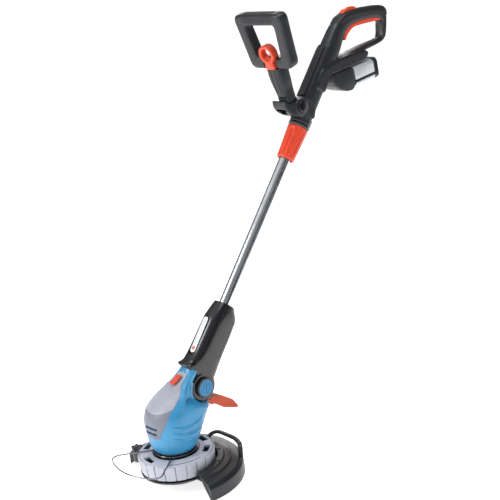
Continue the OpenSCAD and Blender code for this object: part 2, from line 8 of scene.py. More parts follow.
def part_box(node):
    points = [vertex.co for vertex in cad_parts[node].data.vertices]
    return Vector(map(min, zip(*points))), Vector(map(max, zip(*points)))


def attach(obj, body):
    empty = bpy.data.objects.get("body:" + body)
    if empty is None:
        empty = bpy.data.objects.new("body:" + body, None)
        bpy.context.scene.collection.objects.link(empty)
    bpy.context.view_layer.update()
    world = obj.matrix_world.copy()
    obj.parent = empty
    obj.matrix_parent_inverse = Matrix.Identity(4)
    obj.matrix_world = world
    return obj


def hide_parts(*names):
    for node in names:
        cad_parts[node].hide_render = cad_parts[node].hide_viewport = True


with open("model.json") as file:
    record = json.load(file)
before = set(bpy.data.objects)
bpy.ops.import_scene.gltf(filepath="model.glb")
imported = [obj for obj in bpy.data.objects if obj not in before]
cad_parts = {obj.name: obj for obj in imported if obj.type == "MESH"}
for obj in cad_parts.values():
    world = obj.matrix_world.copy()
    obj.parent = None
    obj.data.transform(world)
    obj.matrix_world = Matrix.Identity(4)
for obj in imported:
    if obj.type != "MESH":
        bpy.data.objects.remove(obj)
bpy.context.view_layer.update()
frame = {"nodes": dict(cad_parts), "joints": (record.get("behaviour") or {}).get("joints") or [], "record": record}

mm = 0.001
joints = {joint["name"]: joint for joint in frame["joints"]}
pivot = Vector(joints["head_tilt"]["pos_m"])
shaftUp = -Vector(joints["tube_extend"]["axis"])
loopUp = Vector(joints["ring_pull_up"]["axis"])
batteryAlong = Vector(joints["battery_slide"]["axis"])
bolt = Vector(joints["loop_tilt"]["pos_m"])


# ---- camera, floor and light ----
def placeCamera():
    view = {"azimuth": 48.95, "elevation": 17.03, "roll": 6.59, "distance": 2161.8, "lens": 78.4}
    target = Vector((0, 246.67, 393.92)) * mm
    turn, rise, lean = (math.radians(view[key]) for key in ("azimuth", "elevation", "roll"))
    back = Vector((math.sin(turn) * math.cos(rise), -math.cos(turn) * math.cos(rise), math.sin(rise)))
    level = Vector((math.cos(turn), math.sin(turn), 0))
    above = back.cross(level)
    right = level * math.cos(lean) - above * math.sin(lean)
    up = level * math.sin(lean) + above * math.cos(lean)
    data = bpy.data.cameras.new("camera")
    data.lens = view["lens"]
    camera = bpy.data.objects.new("camera", data)
    camera.matrix_world = Matrix.Translation(target + back * view["distance"] * mm) @ Matrix(
        (right, up, back)).transposed().to_4x4()
    bpy.context.scene.collection.objects.link(camera)
    bpy.context.scene.camera = camera
    print("camera placed")


def areaLight(name, spot, target, size, power):
    data = bpy.data.lights.new(name, "AREA")
    data.shape = "RECTANGLE"
    data.size, data.size_y = size
    data.energy = power
    light = bpy.data.objects.new(name, data)
    light.location = spot
    light.rotation_mode = "QUATERNION"
    light.rotation_quaternion = (Vector(target) - Vector(spot)).to_track_quat("-Z", "Y")
    bpy.context.scene.collection.objects.link(light)


def buildStudio():
    middle = (0, 0.25, 0.42)
    areaLight("keySoftbox", (-0.9, -1.7, 1.5), middle, (0.7, 1.5), 33)
    areaLight("frontStrip", (1.35, -1.9, 0.9), middle, (0.25, 1.6), 7)
    areaLight("topSoftbox", (0.3, 0.3, 2.2), middle, (1.2, 1.2), 15)
    areaLight("rimSoftbox", (-1.6, 1.7, 1.1), middle, (0.6, 1.6), 12)
    areaLight("sideStrip", (2.1, 0.95, 0.9), middle, (0.16, 1.5), 5)
    sunData = bpy.data.lights.new("skyFill", "SUN")
    sunData.energy = 0.5
    sunData.angle = math.radians(70)
    sun = bpy.data.objects.new("skyFill", sunData)
    sun.rotation_euler = (math.radians(18), math.radians(-14), 0)
    bpy.context.scene.collection.objects.link(sun)
    flagCard()
    world = bpy.data.worlds.new("studio")
    world.use_nodes = True
    tree = world.node_tree
    tree.nodes.clear()
    seen = addNode(tree, "ShaderNodeBackground", {"Color": (1, 1, 1, 1), "Strength": 1.0})
    lit = addNode(tree, "ShaderNodeBackground", {"Color": (0.93, 0.96, 1, 1), "Strength": 0.26})
    path = addNode(tree, "ShaderNodeLightPath")
    mix = addNode(tree, "ShaderNodeMixShader", {0: path.outputs["Is Camera Ray"], 1: lit.outputs[0],
                                                2: seen.outputs[0]})
    addNode(tree, "ShaderNodeOutputWorld", {"Surface": mix.outputs[0]})
    bpy.context.scene.world = world
    bpy.context.scene.view_settings.view_transform = "Standard"
    half = 90
    corners = [(-half, -half, 0), (half, -half, 0), (half, half, 0), (-half, half, 0)]
    floor = meshObject("studioFloor", [Vector(c) for c in corners], [(0, 1, 2, 3)], floorMaterial())
    print("studio built")


def flagCard():
    # tall black card beside the camera, seen only as a dark stripe in the bright metal
    black = moulded("blackFlock", {"light": "#0A0A0A", "dark": "#070707", "edge": "#0C0C0C", "wear": 0.0,
                                   "cloudMm": 300, "rubMm": 200, "rough": (0.9, 1.0), "grainMm": 3,
                                   "grain": 0.05})
    corners = [(2.3, -0.1, 0.0), (1.3, 2.1, 0.0), (1.3, 2.1, 2.0), (2.3, -0.1, 2.0)]
    card = meshObject("blackFlag", [Vector(c) for c in corners], [(0, 1, 2, 3)], black)
    card.visible_camera = False
    card.visible_shadow = False
    card.visible_diffuse = False


# ---- small helpers for nodes and meshes ----
def linear(code, alpha=1.0):
    channels = [int(code[i:i + 2], 16) / 255 for i in (1, 3, 5)]
    return tuple(c / 12.92 if c <= 0.04045 else ((c + 0.055) / 1.055) ** 2.4 for c in channels) + (alpha,)


def addNode(tree, kind, feeds=None, **settings):
    node = tree.nodes.new(kind)
    for name, value in settings.items():
        setattr(node, name, value)
    for socket, source in (feeds or {}).items():
        if isinstance(source, bpy.types.NodeSocket):
            tree.links.new(source, node.inputs[socket])
        else:
            node.inputs[socket].default_value = source
    return node


def meshObject(name, points, faces, material):
    mesh = bpy.data.meshes.new(name)
    mesh.from_pydata([tuple(p) for p in points], [], faces)
    mesh.validate()
    piece = bpy.data.objects.new(name, mesh)
    bpy.context.scene.collection.objects.link(piece)
    mesh.materials.append(material)
    return piece


def shade(piece, sharpAngle=35, flip=True):
    # smooth shading that breaks at edges steeper than the angle
    work = bmesh.new()
    work.from_mesh(piece.data)
    bmesh.ops.remove_doubles(work, verts=work.verts, dist=0.00001)
    if flip:
        bmesh.ops.recalc_face_normals(work, faces=work.faces)
    for face in work.faces:
        face.smooth = True
    limit = math.radians(sharpAngle)
    for edge in work.edges:
        edge.smooth = len(edge.link_faces) != 2 or edge.calc_face_angle(0) < limit
    work.to_mesh(piece.data)
    work.free()
    return piece


def bake(piece, material=None):
    # turns the modifiers' result into a plain mesh
    graph = bpy.context.evaluated_depsgraph_get()
    mesh = bpy.data.meshes.new_from_object(piece.evaluated_get(graph))
    piece.modifiers.clear()
    piece.data = mesh
    if material:
        mesh.materials.clear()
        mesh.materials.append(material)
        mesh.polygons.foreach_set("material_index", [0] * len(mesh.polygons))
    return piece


def carve(piece, cutters, operation="DIFFERENCE"):
    material = piece.data.materials[0]
    for cutter in cutters:
        change = piece.modifiers.new("carve", "BOOLEAN")
        change.operation = operation
        change.solver = "EXACT"
        change.object = cutter
    bake(piece, material)
    for cutter in cutters:
        bpy.data.objects.remove(cutter)
    return piece


def blendSolids(piece, others, voxel, rounds):
    # melts overlapping solids into one skin with soft fillets
    work = bmesh.new()
    for part in [piece] + others:
        work.from_mesh(part.data)
    work.to_mesh(piece.data)
    work.free()
    for part in others:
        bpy.data.objects.remove(part)
    remesh = piece.modifiers.new("skin", "REMESH")
    remesh.mode = "VOXEL"
    remesh.voxel_size = voxel * mm
    smooth = piece.modifiers.new("soften", "SMOOTH")
    smooth.factor = 0.5
    smooth.iterations = rounds
    return bake(piece, piece.data.materials[0])


def softenEdges(piece, width, angle=40, segments=3):
    bevel = piece.modifiers.new("edges", "BEVEL")
    bevel.width = width * mm
    bevel.segments = segments
    bevel.limit_method = "ANGLE"
    bevel.angle_limit = math.radians(angle)
    bevel.use_clamp_overlap = True
    return bake(piece)


def finish(piece, body, nodes=(), sharpAngle=35):
    shade(piece, sharpAngle)
    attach(piece, body)
    if nodes:
        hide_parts(*nodes)
    return piece


# ---- places ----
def rowPoint(x, y, z):
    return Vector((x, y, z)) * mm


def localFrame(origin, up):
    # x stays x, z goes along the given direction, y to the rear
    side = Vector((1, 0, 0))
    rear = up.cross(side)
    return Matrix.Translation(origin) @ Matrix((side, rear, up)).transposed().to_4x4()


shaftFrame = localFrame(pivot, shaftUp)
loopFrame = localFrame(rowPoint(0, 366, 748.5), loopUp)
batteryFrame = localFrame(rowPoint(0, 570, 682), Vector((1, 0, 0)).cross(batteryAlong))
latchUp = Vector((0, -math.sin(math.radians(24.5)), math.cos(math.radians(24.5))))
latchFrame = localFrame(rowPoint(0, 22.5, 197.6), latchUp)
rowFrame = Matrix.Identity(4)


def inFrame(place, points):
    return [place @ (Vector(p) * mm) for p in points]


# ---- shapes ----
def spline(rows, steps, closed=False):
    # smooth rows of numbers through the given rows
    count = len(rows)
    spans = count if closed else count - 1
    out = []
    for i in range(spans):
        near = [rows[(i + k) % count] if closed else rows[min(max(i + k, 0), count - 1)]
                for k in (-1, 0, 1, 2)]
        for s in range(steps):
            t = s / steps
            out.append([0.5 * (2 * b + (c - a) * t + (2 * a - 5 * b + 4 * c - d) * t * t
                               + (3 * b - a - 3 * c + d) * t ** 3) for a, b, c, d in zip(*near)])
    if not closed:
        out.append(list(rows[-1]))
    return out


def signedPower(value, exponent):
    return math.copysign(abs(value) ** exponent, value)


def skin(name, rings, material, closed=False):
    # joins rings of points into a tube, with fans at open ends
    around = len(rings[0])
    points = [p for ring in rings for p in ring]
    faces = []
    last = len(rings) if closed else len(rings) - 1
    for j in range(last):
        for i in range(around):
            a, b = j * around + i, j * around + (i + 1) % around
            up = (j + 1) % len(rings) * around
            faces.append((a, b, up + (i + 1) % around, up + i))
    if not closed:
        for ring, start in ((rings[0], 0), (rings[-1], (len(rings) - 1) * around)):
            points.append(sum((Vector(p) for p in ring), Vector()) / around)
            faces += [(start + (i + 1) % around, start + i, len(points) - 1) for i in range(around)]
    return meshObject(name, points, faces, material)


def sectionRing(row, around, grow=0.0):
    # row: front y, front z, rear y, rear z, half width, squareness
    front, rear = Vector((0, row[0], row[1])), Vector((0, row[2], row[3]))
    half = (rear - front).length / 2 + grow
    along = (rear - front).normalized()
    ring = []
    for i in range(around):
        angle = 2 * math.pi * i / around
        x = (row[4] + grow) * signedPower(math.cos(angle), 2 / row[5])
        ring.append(Vector((x, 0, 0)) + (front + rear) / 2 + along * half * signedPower(math.sin(angle),
                                                                                        2 / row[5]))
    return ring


def domed(rings, depth, atStart, atEnd):
    # closes a loft with rounded ends
    out = list(rings)
    for end, wanted in ((0, atStart), (-1, atEnd)):
        if not wanted:
            continue
        ring, inner = rings[end], rings[1 if end == 0 else -2]
        centre = sum(ring, Vector()) / len(ring)
        away = (centre - sum(inner, Vector()) / len(inner)).normalized()
        reach = max((p - centre).length for p in ring)
        extra = []
        for degrees in (25, 50, 72, 90):
            inset = depth * (1 - math.cos(math.radians(degrees)))
            lift = depth * math.sin(math.radians(degrees))
            extra.append([centre + (p - centre) * (1 - inset / reach) + away * lift for p in ring])
        out = list(reversed(extra)) + out if end == 0 else out + extra
    return out


def loft(name, rows, place, material, steps=6, around=48, grow=0.0, dome=3.0, ends=(True, True),
         closed=False):
    rings = [sectionRing(row, around, grow) for row in spline(rows, steps, closed)]
    if not closed:
        rings = domed(rings, dome, *ends)
    return skin(name, [inFrame(place, ring) for ring in rings], material, closed)


def outlinePoints(outline, radius, arcSteps=5):
    # rounds the corners of a flat outline
    out = []
    count = len(outline)
    for i, corner in enumerate(outline):
        here = Vector(corner)
        before, after = Vector(outline[i - 1]) - here, Vector(outline[(i + 1) % count]) - here
        cut = min(radius, before.length * 0.45, after.length * 0.45)
        start, end = here + before.normalized() * cut, here + after.normalized() * cut
        for k in range(arcSteps + 1):
            t = k / arcSteps
            out.append(start * (1 - t) ** 2 + here * 2 * t * (1 - t) + end * t * t)
    return out


def prism(name, outline, low, high, place, material, radius=0.0, axis="x"):
    # outline in y and z extruded along x, in x and z along y, or in x and y along z
    flat = outlinePoints(outline, radius) if radius else [Vector(p) for p in outline]
    order = {"x": lambda p, d: (d, p[0], p[1]), "y": lambda p, d: (p[0], d, p[1]), "z": lambda p,
             d: (p[0], p[1], d)}
    rings = [inFrame(place, [order[axis](p, d) for p in flat]) for d in (low, high)]
    count = len(flat)
    faces = [(i, (i + 1) % count, count + (i + 1) % count, count + i) for i in range(count)]
    faces += [tuple(range(count))[::-1], tuple(range(count, 2 * count))]
    piece = meshObject(name, rings[0] + rings[1], faces, material)
    return shade(piece)


def revolve(name, profile, place, material, around=96, start=0.0, sweep=360.0, radius=0.0):
    # profile of radius and height turned about the local z axis
    flat = outlinePoints(profile, radius, 4) if radius else [Vector(p) for p in profile]
    full = sweep >= 360
    count = around if full else around + 1
    rings = []
    for i in range(count):
        angle = math.radians(start + sweep * i / around)
        rings.append(inFrame(place, [(p[0] * math.cos(angle), p[0] * math.sin(angle), p[1]) for p in flat]))
    if full:
        return shade(skin(name, rings, material, closed=True))
    around = len(flat)
    piece = skin(name, rings, material)
    return shade(piece)


def disc(name, radius, low, high, place, material, axis="z", around=64):
    outline = [(radius * math.cos(2 * math.pi * i / around), radius * math.sin(2 * math.pi * i / around))
               for i in range(around)]
    return prism(name, outline, low, high, place, material, axis=axis)


def block(name, low, high, place, material):
    outline = [(low[1], low[2]), (high[1], low[2]), (high[1], high[2]), (low[1], high[2])]
    return prism(name, outline, low[0], high[0], place, material)


def wireTube(name, path, radius, material, closed=False, around=12):
    # round wire along a smooth path
    count = len(path)
    rings = []
    side = None
    for i, point in enumerate(path):
        ahead = path[(i + 1) % count] if closed or i < count - 1 else point
        behind = path[i - 1] if closed or i > 0 else point
        along = (Vector(ahead) - Vector(behind)).normalized()
        guide = side or (Vector((0, 0, 1)) if abs(along.z) < 0.9 else Vector((1, 0, 0)))
        side = (guide - along * guide.dot(along)).normalized()
        other = along.cross(side)
        rings.append([Vector(point) + (side * math.cos(a) + other * math.sin(a)) * radius
                      for a in (2 * math.pi * k / around for k in range(around))])
    return shade(skin(name, rings, material, closed), 60)


# ---- repeated details, by geometry nodes ----
def copiesTree():
    # copies of a template along a step, each turned about the vertical axis
    tree = bpy.data.node_groups.new("copiesAlongStep", "GeometryNodeTree")
    face = tree.interface
    for name, kind in (("Template", "NodeSocketObject"), ("Count", "NodeSocketInt"),
                       ("Start", "NodeSocketVector"),
                       ("Step", "NodeSocketVector"), ("Turn", "NodeSocketFloat"),
                       ("Finish", "NodeSocketMaterial")):
        face.new_socket(name=name, in_out="INPUT", socket_type=kind)
    face.new_socket(name="Geometry", in_out="OUTPUT", socket_type="NodeSocketGeometry")
    entry = addNode(tree, "NodeGroupInput")
    line = addNode(tree, "GeometryNodeMeshLine", {"Count": entry.outputs["Count"],
                                                  "Start Location": entry.outputs["Start"],
                                                  "Offset": entry.outputs["Step"]})
    shape = addNode(tree, "GeometryNodeObjectInfo", {"Object": entry.outputs["Template"]})
    index = addNode(tree, "GeometryNodeInputIndex")
    angle = addNode(tree, "ShaderNodeMath", {0: index.outputs[0], 1: entry.outputs["Turn"]},
                    operation="MULTIPLY")
    spin = addNode(tree, "ShaderNodeCombineXYZ", {"Z": angle.outputs[0]})
    place = addNode(tree, "GeometryNodeInstanceOnPoints", {"Points": line.outputs[0],
                                                           "Instance": shape.outputs["Geometry"],
                                                           "Rotation": spin.outputs[0]})
    real = addNode(tree, "GeometryNodeRealizeInstances", {0: place.outputs[0]})
    coat = addNode(tree, "GeometryNodeSetMaterial", {"Geometry": real.outputs[0],
                                                     "Material": entry.outputs["Finish"]})
    addNode(tree, "NodeGroupOutput", {0: coat.outputs[0]})
    return tree


def copies(name, template, count, material, start=(0, 0, 0), step=(0, 0, 0), turn=0.0):
    tree = bpy.data.node_groups.get("copiesAlongStep") or copiesTree()
    holder = meshObject(name, [], [], material)
    change = holder.modifiers.new("copies", "NODES")
    change.node_group = tree
    values = {"Template": template, "Count": count, "Start": tuple(start), "Step": tuple(step),
              "Turn": math.radians(turn), "Finish": material}
    for item in tree.interface.items_tree:
        if item.in_out == "INPUT":
            change[item.identifier] = values[item.name]
    bake(holder, material)
    bpy.data.objects.remove(template)
    return holder


def joined(name, parts, material):
    # one object from several, without melting them together
    work = bmesh.new()
    for part in parts:
        work.from_mesh(part.data)
        bpy.data.objects.remove(part)
    piece = meshObject(name, [], [], material)
    work.to_mesh(piece.data)
    work.free()
    return piece


def halves(piece, body, nodes, gap=0.1, sharpAngle=35):
    # splits a shell at the middle plane with a fine seam; the cut is filled around any hole in it
    for side, node in zip((1, -1), nodes):
        half = meshObject(node.replace("motor_housing", "housing") + "_shell", [], [],
                          piece.data.materials[0])
        half.data = piece.data.copy()
        cut = bmesh.new()
        cut.from_mesh(half.data)
        found = bmesh.ops.bisect_plane(cut, geom=cut.verts[:] + cut.edges[:] + cut.faces[:], dist=1e-7,
                                       plane_co=(side * gap * mm, 0, 0), plane_no=(side, 0, 0),
                                       clear_inner=True)
        rim = [part for part in found["geom_cut"] if isinstance(part, bmesh.types.BMEdge)
               and part.is_boundary]
        bmesh.ops.triangle_fill(cut, edges=rim, normal=(-side, 0, 0), use_beauty=True)
        cut.to_mesh(half.data)
        cut.free()
        finish(half, body, [node], sharpAngle)
    bpy.data.objects.remove(piece)


# ---- finishes ----
def perMetre(sizeMm):
    # texture scale that gives features of this size
    return 1000 / sizeMm


def newMaterial(name):
    material = bpy.data.materials.new(name)
    material.use_nodes = True
    material.node_tree.nodes.clear()
    return material, material.node_tree


def moulded(name, look):
    # moulded plastic: faint flow clouds, fine grain, rubbed spots and paler worn edges
    material, tree = newMaterial(name)
    place = addNode(tree, "ShaderNodeTexCoord").outputs["Object"]
    clouds = addNode(tree, "ShaderNodeTexNoise", {"Vector": place, "Scale": perMetre(look["cloudMm"]),
                                                  "Detail": 3.0})
    colour = addNode(tree, "ShaderNodeValToRGB", {"Fac": clouds.outputs[0]})
    colour.color_ramp.elements[0].position = 0.3
    colour.color_ramp.elements[0].color = linear(look["dark"])
    colour.color_ramp.elements[1].position = 0.7
    colour.color_ramp.elements[1].color = linear(look["light"])
    shape = addNode(tree, "ShaderNodeNewGeometry")
    worn = addNode(tree, "ShaderNodeMapRange", {"Value": shape.outputs["Pointiness"], "From Min": 0.52,
                                                "From Max": 0.62, "To Min": 0.0, "To Max": look["wear"]})
    rubbed = addNode(tree, "ShaderNodeMix", {0: worn.outputs[0], 6: colour.outputs[0],
                                             7: linear(look["edge"])},
                     data_type="RGBA")
    patches = addNode(tree, "ShaderNodeTexNoise", {"Vector": place, "Scale": perMetre(look["rubMm"]),
                                                   "Detail": 5.0,
                                                   "Roughness": 0.65})
    rough = addNode(tree, "ShaderNodeMapRange", {"Value": patches.outputs[0], "From Min": 0.3,
                                                 "From Max": 0.7,
                                                 "To Min": look["rough"][0], "To Max": look["rough"][1]})
    grain = addNode(tree, "ShaderNodeTexNoise", {"Vector": place, "Scale": perMetre(look["grainMm"]),
                                                 "Detail": 2.0})
    pits = addNode(tree, "ShaderNodeTexVoronoi", {"Vector": place, "Scale": perMetre(look["grainMm"] * 1.7)})
    height = addNode(tree, "ShaderNodeMath", {0: grain.outputs[0], 1: pits.outputs["Distance"]},
                     operation="ADD")
    bump = addNode(tree, "ShaderNodeBump", {"Height": height.outputs[0], "Strength": look["grain"],
                                            "Distance": look["grainMm"] * 0.2 * mm})
    shader = addNode(tree, "ShaderNodeBsdfPrincipled", {"Base Color": rubbed.outputs[2],
                                                        "Roughness": rough.outputs[0],
                                                        "Normal": bump.outputs[0],
                                                        "IOR": look.get("ior", 1.5),
                                                        "Coat Weight": look.get("coat", 0.0),
                                                        "Coat Roughness": look.get("coatRough", 0.1)})
    addNode(tree, "ShaderNodeOutputMaterial", {"Surface": shader.outputs[0]})
    return material


def metal(name, look):
    # bare or painted metal: lines drawn along one direction, smudges in the gloss
    material, tree = newMaterial(name)
    place = addNode(tree, "ShaderNodeTexCoord").outputs["Object"]
    turned = addNode(tree, "ShaderNodeMapping", {"Vector": place, "Rotation": look.get("turn", (0, 0, 0)),
                                                 "Scale": look.get("stretch", (1, 1, 1))})
    lines = addNode(tree, "ShaderNodeTexNoise", {"Vector": turned.outputs[0],
                                                 "Scale": perMetre(look["lineMm"]),
                                                 "Detail": 4.0})
    smudge = addNode(tree, "ShaderNodeTexNoise", {"Vector": place, "Scale": perMetre(look["smudgeMm"]),
                                                  "Detail": 5.0})
    colour = addNode(tree, "ShaderNodeMix", {0: smudge.outputs[0], 6: linear(look["dark"]),
                                             7: linear(look["light"])},
                     data_type="RGBA")
    rough = addNode(tree, "ShaderNodeMapRange", {"Value": smudge.outputs[0], "From Min": 0.3, "From Max": 0.7,
                                                 "To Min": look["rough"][0], "To Max": look["rough"][1]})
    bump = addNode(tree, "ShaderNodeBump", {"Height": lines.outputs[0], "Strength": look["grain"],
                                            "Distance": 0.05 * mm})
    shader = addNode(tree, "ShaderNodeBsdfPrincipled", {"Base Color": colour.outputs[2],
                                                        "Metallic": look["metallic"],
                                                        "Roughness": rough.outputs[0],
                                                        "Normal": bump.outputs[0],
                                                        "Coat Weight": look.get("coat", 0.0)})
    addNode(tree, "ShaderNodeOutputMaterial", {"Surface": shader.outputs[0]})
    return material


def floorMaterial():
    paper = moulded("mattStudioPaper", {  # faintly uneven white paper sweep
        "light": "#F4F4F3", "dark": "#EFEFEE", "edge": "#F4F4F3", "wear": 0.0, "cloudMm": 600, "rubMm": 300,
        "rough": (0.75, 0.9), "grainMm": 1.2, "grain": 0.05})
    shader = next(node for node in paper.node_tree.nodes if node.type == "BSDF_PRINCIPLED")
    shader.inputs["Emission Color"].default_value = (1, 1, 1, 1)
    shader.inputs["Emission Strength"].default_value = 0.75
    return paper


def makeFinishes():
    shaftTurn = (math.radians(39.6), 0, 0)
    plastics = {
        # injection-moulded ABS, satin with soft broad highlights
        "mouldedBlueAbs": {"light": "#3795C6", "dark": "#2F8ABB", "edge": "#9CCDEA", "wear": 0.35,
                           "cloudMm": 34, "rubMm": 22, "rough": (0.26, 0.4), "grainMm": 0.8, "grain": 0.12,
                           "coat": 0.25, "coatRough": 0.16},
        # spark-eroded black nylon shell, fine leather-like grain
        "texturedBlackNylon": {"light": "#202227", "dark": "#17181C", "edge": "#54575E", "wear": 0.4,
                               "cloudMm": 28, "rubMm": 15, "rough": (0.3, 0.44), "grainMm": 0.9,
                               "grain": 0.22},
        # softer black overmould, dull with a dusty bloom
        "softTouchRubber": {"light": "#17181A", "dark": "#0F1012", "edge": "#34363A", "wear": 0.4,
                            "cloudMm": 12, "rubMm": 8, "rough": (0.45, 0.62), "grainMm": 0.7,
                            "grain": 0.35},
        # polished black ABS of the lower arm, long sharp highlights
        "polishedBlackAbs": {"light": "#17181B", "dark": "#101113", "edge": "#55585E", "wear": 0.35,
                             "cloudMm": 40, "rubMm": 26, "rough": (0.18, 0.3), "grainMm": 1.1,
                             "grain": 0.06, "coat": 0.4, "coatRough": 0.12},
        # satin pale grey ABS of the front cover
        "satinGreyAbs": {"light": "#A9ABB7", "dark": "#999CA9", "edge": "#D8D9E0", "wear": 0.3,
                         "cloudMm": 30, "rubMm": 18, "rough": (0.32, 0.46), "grainMm": 0.7, "grain": 0.16},
        # lower field of the cover, the same plastic with painted shade: a darker, slightly duller copy standing in
        # for the shade on its downward-facing side
        "paintedShadeGreyAbs": {"light": "#7F828E", "dark": "#747783", "edge": "#B9BBC5", "wear": 0.3,
                        "cloudMm": 30, "rubMm": 18, "rough": (0.34, 0.5), "grainMm": 0.8, "grain": 0.15},
        # moulded pale nylon wheel, slightly waxy with scuffed rim
        "paleGreyNylon": {"light": "#B9BAC5", "dark": "#A9ABB7", "edge": "#E6E6EC", "wear": 0.4,
                          "cloudMm": 22, "rubMm": 12, "rough": (0.4, 0.58), "grainMm": 0.9, "grain": 0.25},
        # orange ABS controls, semi-gloss
        "orangeAbs": {"light": "#E2421F", "dark": "#D0381A", "edge": "#F6926F", "wear": 0.4, "cloudMm": 16,
                      "rubMm": 9, "rough": (0.3, 0.45), "grainMm": 0.7, "grain": 0.2},
        # duller orange nylon of the foot pedal
        "orangeNylon": {"light": "#D04A22", "dark": "#BC3F1C", "edge": "#EE9068", "wear": 0.45,
                        "cloudMm": 18, "rubMm": 10, "rough": (0.38, 0.55), "grainMm": 0.9, "grain": 0.3},
        # charcoal polypropylene guard, dull with visible grain
        "charcoalPolypropylene": {"light": "#1D1F23", "dark": "#151719", "edge": "#55575C", "wear": 0.4,
                                  "cloudMm": 40, "rubMm": 16, "rough": (0.3, 0.46), "grainMm": 1.2,
                                  "grain": 0.2},
        # blank white film label, smooth with small ripples
        "whiteFilm": {"light": "#DCDDE0", "dark": "#D2D4D8", "edge": "#F0F1F3", "wear": 0.2, "cloudMm": 14,
                      "rubMm": 9, "rough": (0.2, 0.32), "grainMm": 2.2, "grain": 0.08, "coat": 0.3},
        # green circuit board with a faint weave
        "greenBoard": {"light": "#2F7D4A", "dark": "#24663B", "edge": "#6FB184", "wear": 0.2, "cloudMm": 5,
                       "rubMm": 4, "rough": (0.35, 0.5), "grainMm": 1.0, "grain": 0.3},
        # thin pale blue sleeve shrunk over each cell
        "cellSleeve": {"light": "#7FB0D8", "dark": "#6C9EC8", "edge": "#B4D2EA", "wear": 0.2, "cloudMm": 9,
                       "rubMm": 6, "rough": (0.25, 0.4), "grainMm": 0.8, "grain": 0.1},
        # extruded nylon trimmer line, waxy yellow
        "nylonLine": {"light": "#E6C13A", "dark": "#D2A92C", "edge": "#F5E08A", "wear": 0.2, "cloudMm": 6,
                      "rubMm": 4, "rough": (0.25, 0.4), "grainMm": 1.6, "grain": 0.5},
        # mid grey acetal of the spool, plain and slightly slick
        "greyAcetal": {"light": "#6A6D73", "dark": "#5A5D63", "edge": "#9A9CA2", "wear": 0.3, "cloudMm": 14,
                       "rubMm": 8, "rough": (0.3, 0.45), "grainMm": 0.8, "grain": 0.2}}
    metals = {
        # drawn and polished aluminium tube, long faint draw lines
        "polishedAluminium": {"light": "#E4E6EA", "dark": "#D2D5DA", "metallic": 1.0, "lineMm": 1.2,
                              "turn": shaftTurn, "stretch": (1, 1, 0.02), "smudgeMm": 40,
                              "rough": (0.12, 0.24), "grain": 0.2},
        # silver lacquer on the battery shell, metallic flake
        "silverLacquer": {"light": "#D3D4DB", "dark": "#C3C4CD", "metallic": 0.35, "lineMm": 0.7,
                          "smudgeMm": 14, "rough": (0.26, 0.38), "grain": 0.12, "coat": 0.3},
        # zinc-plated steel screws, pins and rod
        "platedSteel": {"light": "#C9CBD0", "dark": "#A2A5AB", "metallic": 1.0, "lineMm": 0.6,
                        "smudgeMm": 5, "rough": (0.2, 0.38), "grain": 0.3},
        # drawn steel wire of the plant guard, dulled to mid grey
        "brightWire": {"light": "#8E9095", "dark": "#6C6E73", "metallic": 1.0, "lineMm": 1.0, "smudgeMm": 9,
                       "rough": (0.14, 0.26), "grain": 0.25},
        # rolled steel can of the motor, soft grey sheen
        "motorCan": {"light": "#A5A8AD", "dark": "#8C8F94", "metallic": 1.0, "lineMm": 1.0, "smudgeMm": 12,
                     "rough": (0.25, 0.4), "grain": 0.2},
        # brushed brass contact blades, warm and lightly marked
        "brassContact": {"light": "#C79C4E", "dark": "#AC8237", "metallic": 1.0, "lineMm": 0.6,
                         "smudgeMm": 5, "rough": (0.2, 0.35), "grain": 0.2}}
    found = {name: moulded(name, look) for name, look in plastics.items()}
    found.update({name: metal(name, look) for name, look in metals.items()})
    print("finishes made:", len(found))
    return found


slotFinish = {"black_shell": "texturedBlackNylon", "black_soft": "softTouchRubber",
              "black_gloss": "polishedBlackAbs",
              "blue_shell": "mouldedBlueAbs", "grey_cover": "satinGreyAbs", "grey_wheel": "paleGreyNylon",
              "orange": "orangeAbs", "pedal_orange": "orangeNylon", "tube_metal": "polishedAluminium",
              "silver_shell": "silverLacquer", "steel": "platedSteel", "spring_wire": "brightWire",
              "white_label": "whiteFilm", "motor_metal": "motorCan", "board": "greenBoard",
              "contact_brass": "brassContact", "cell_wrap": "cellSleeve", "lead_black": "softTouchRubber",
              "line_yellow": "nylonLine", "spool_grey": "greyAcetal"}


def paintFrame():
    slots = {part["node"]: part["material_slot"] for part in frame["record"]["subparts"]}
    for name, piece in frame["nodes"].items():
        piece.data.materials.clear()
        piece.data.materials.append(finishes[slotFinish[slots[name]]])
    print("frame painted:", len(slots))


placeCamera()
buildStudio()
finishes = makeFinishes()
paintFrame()


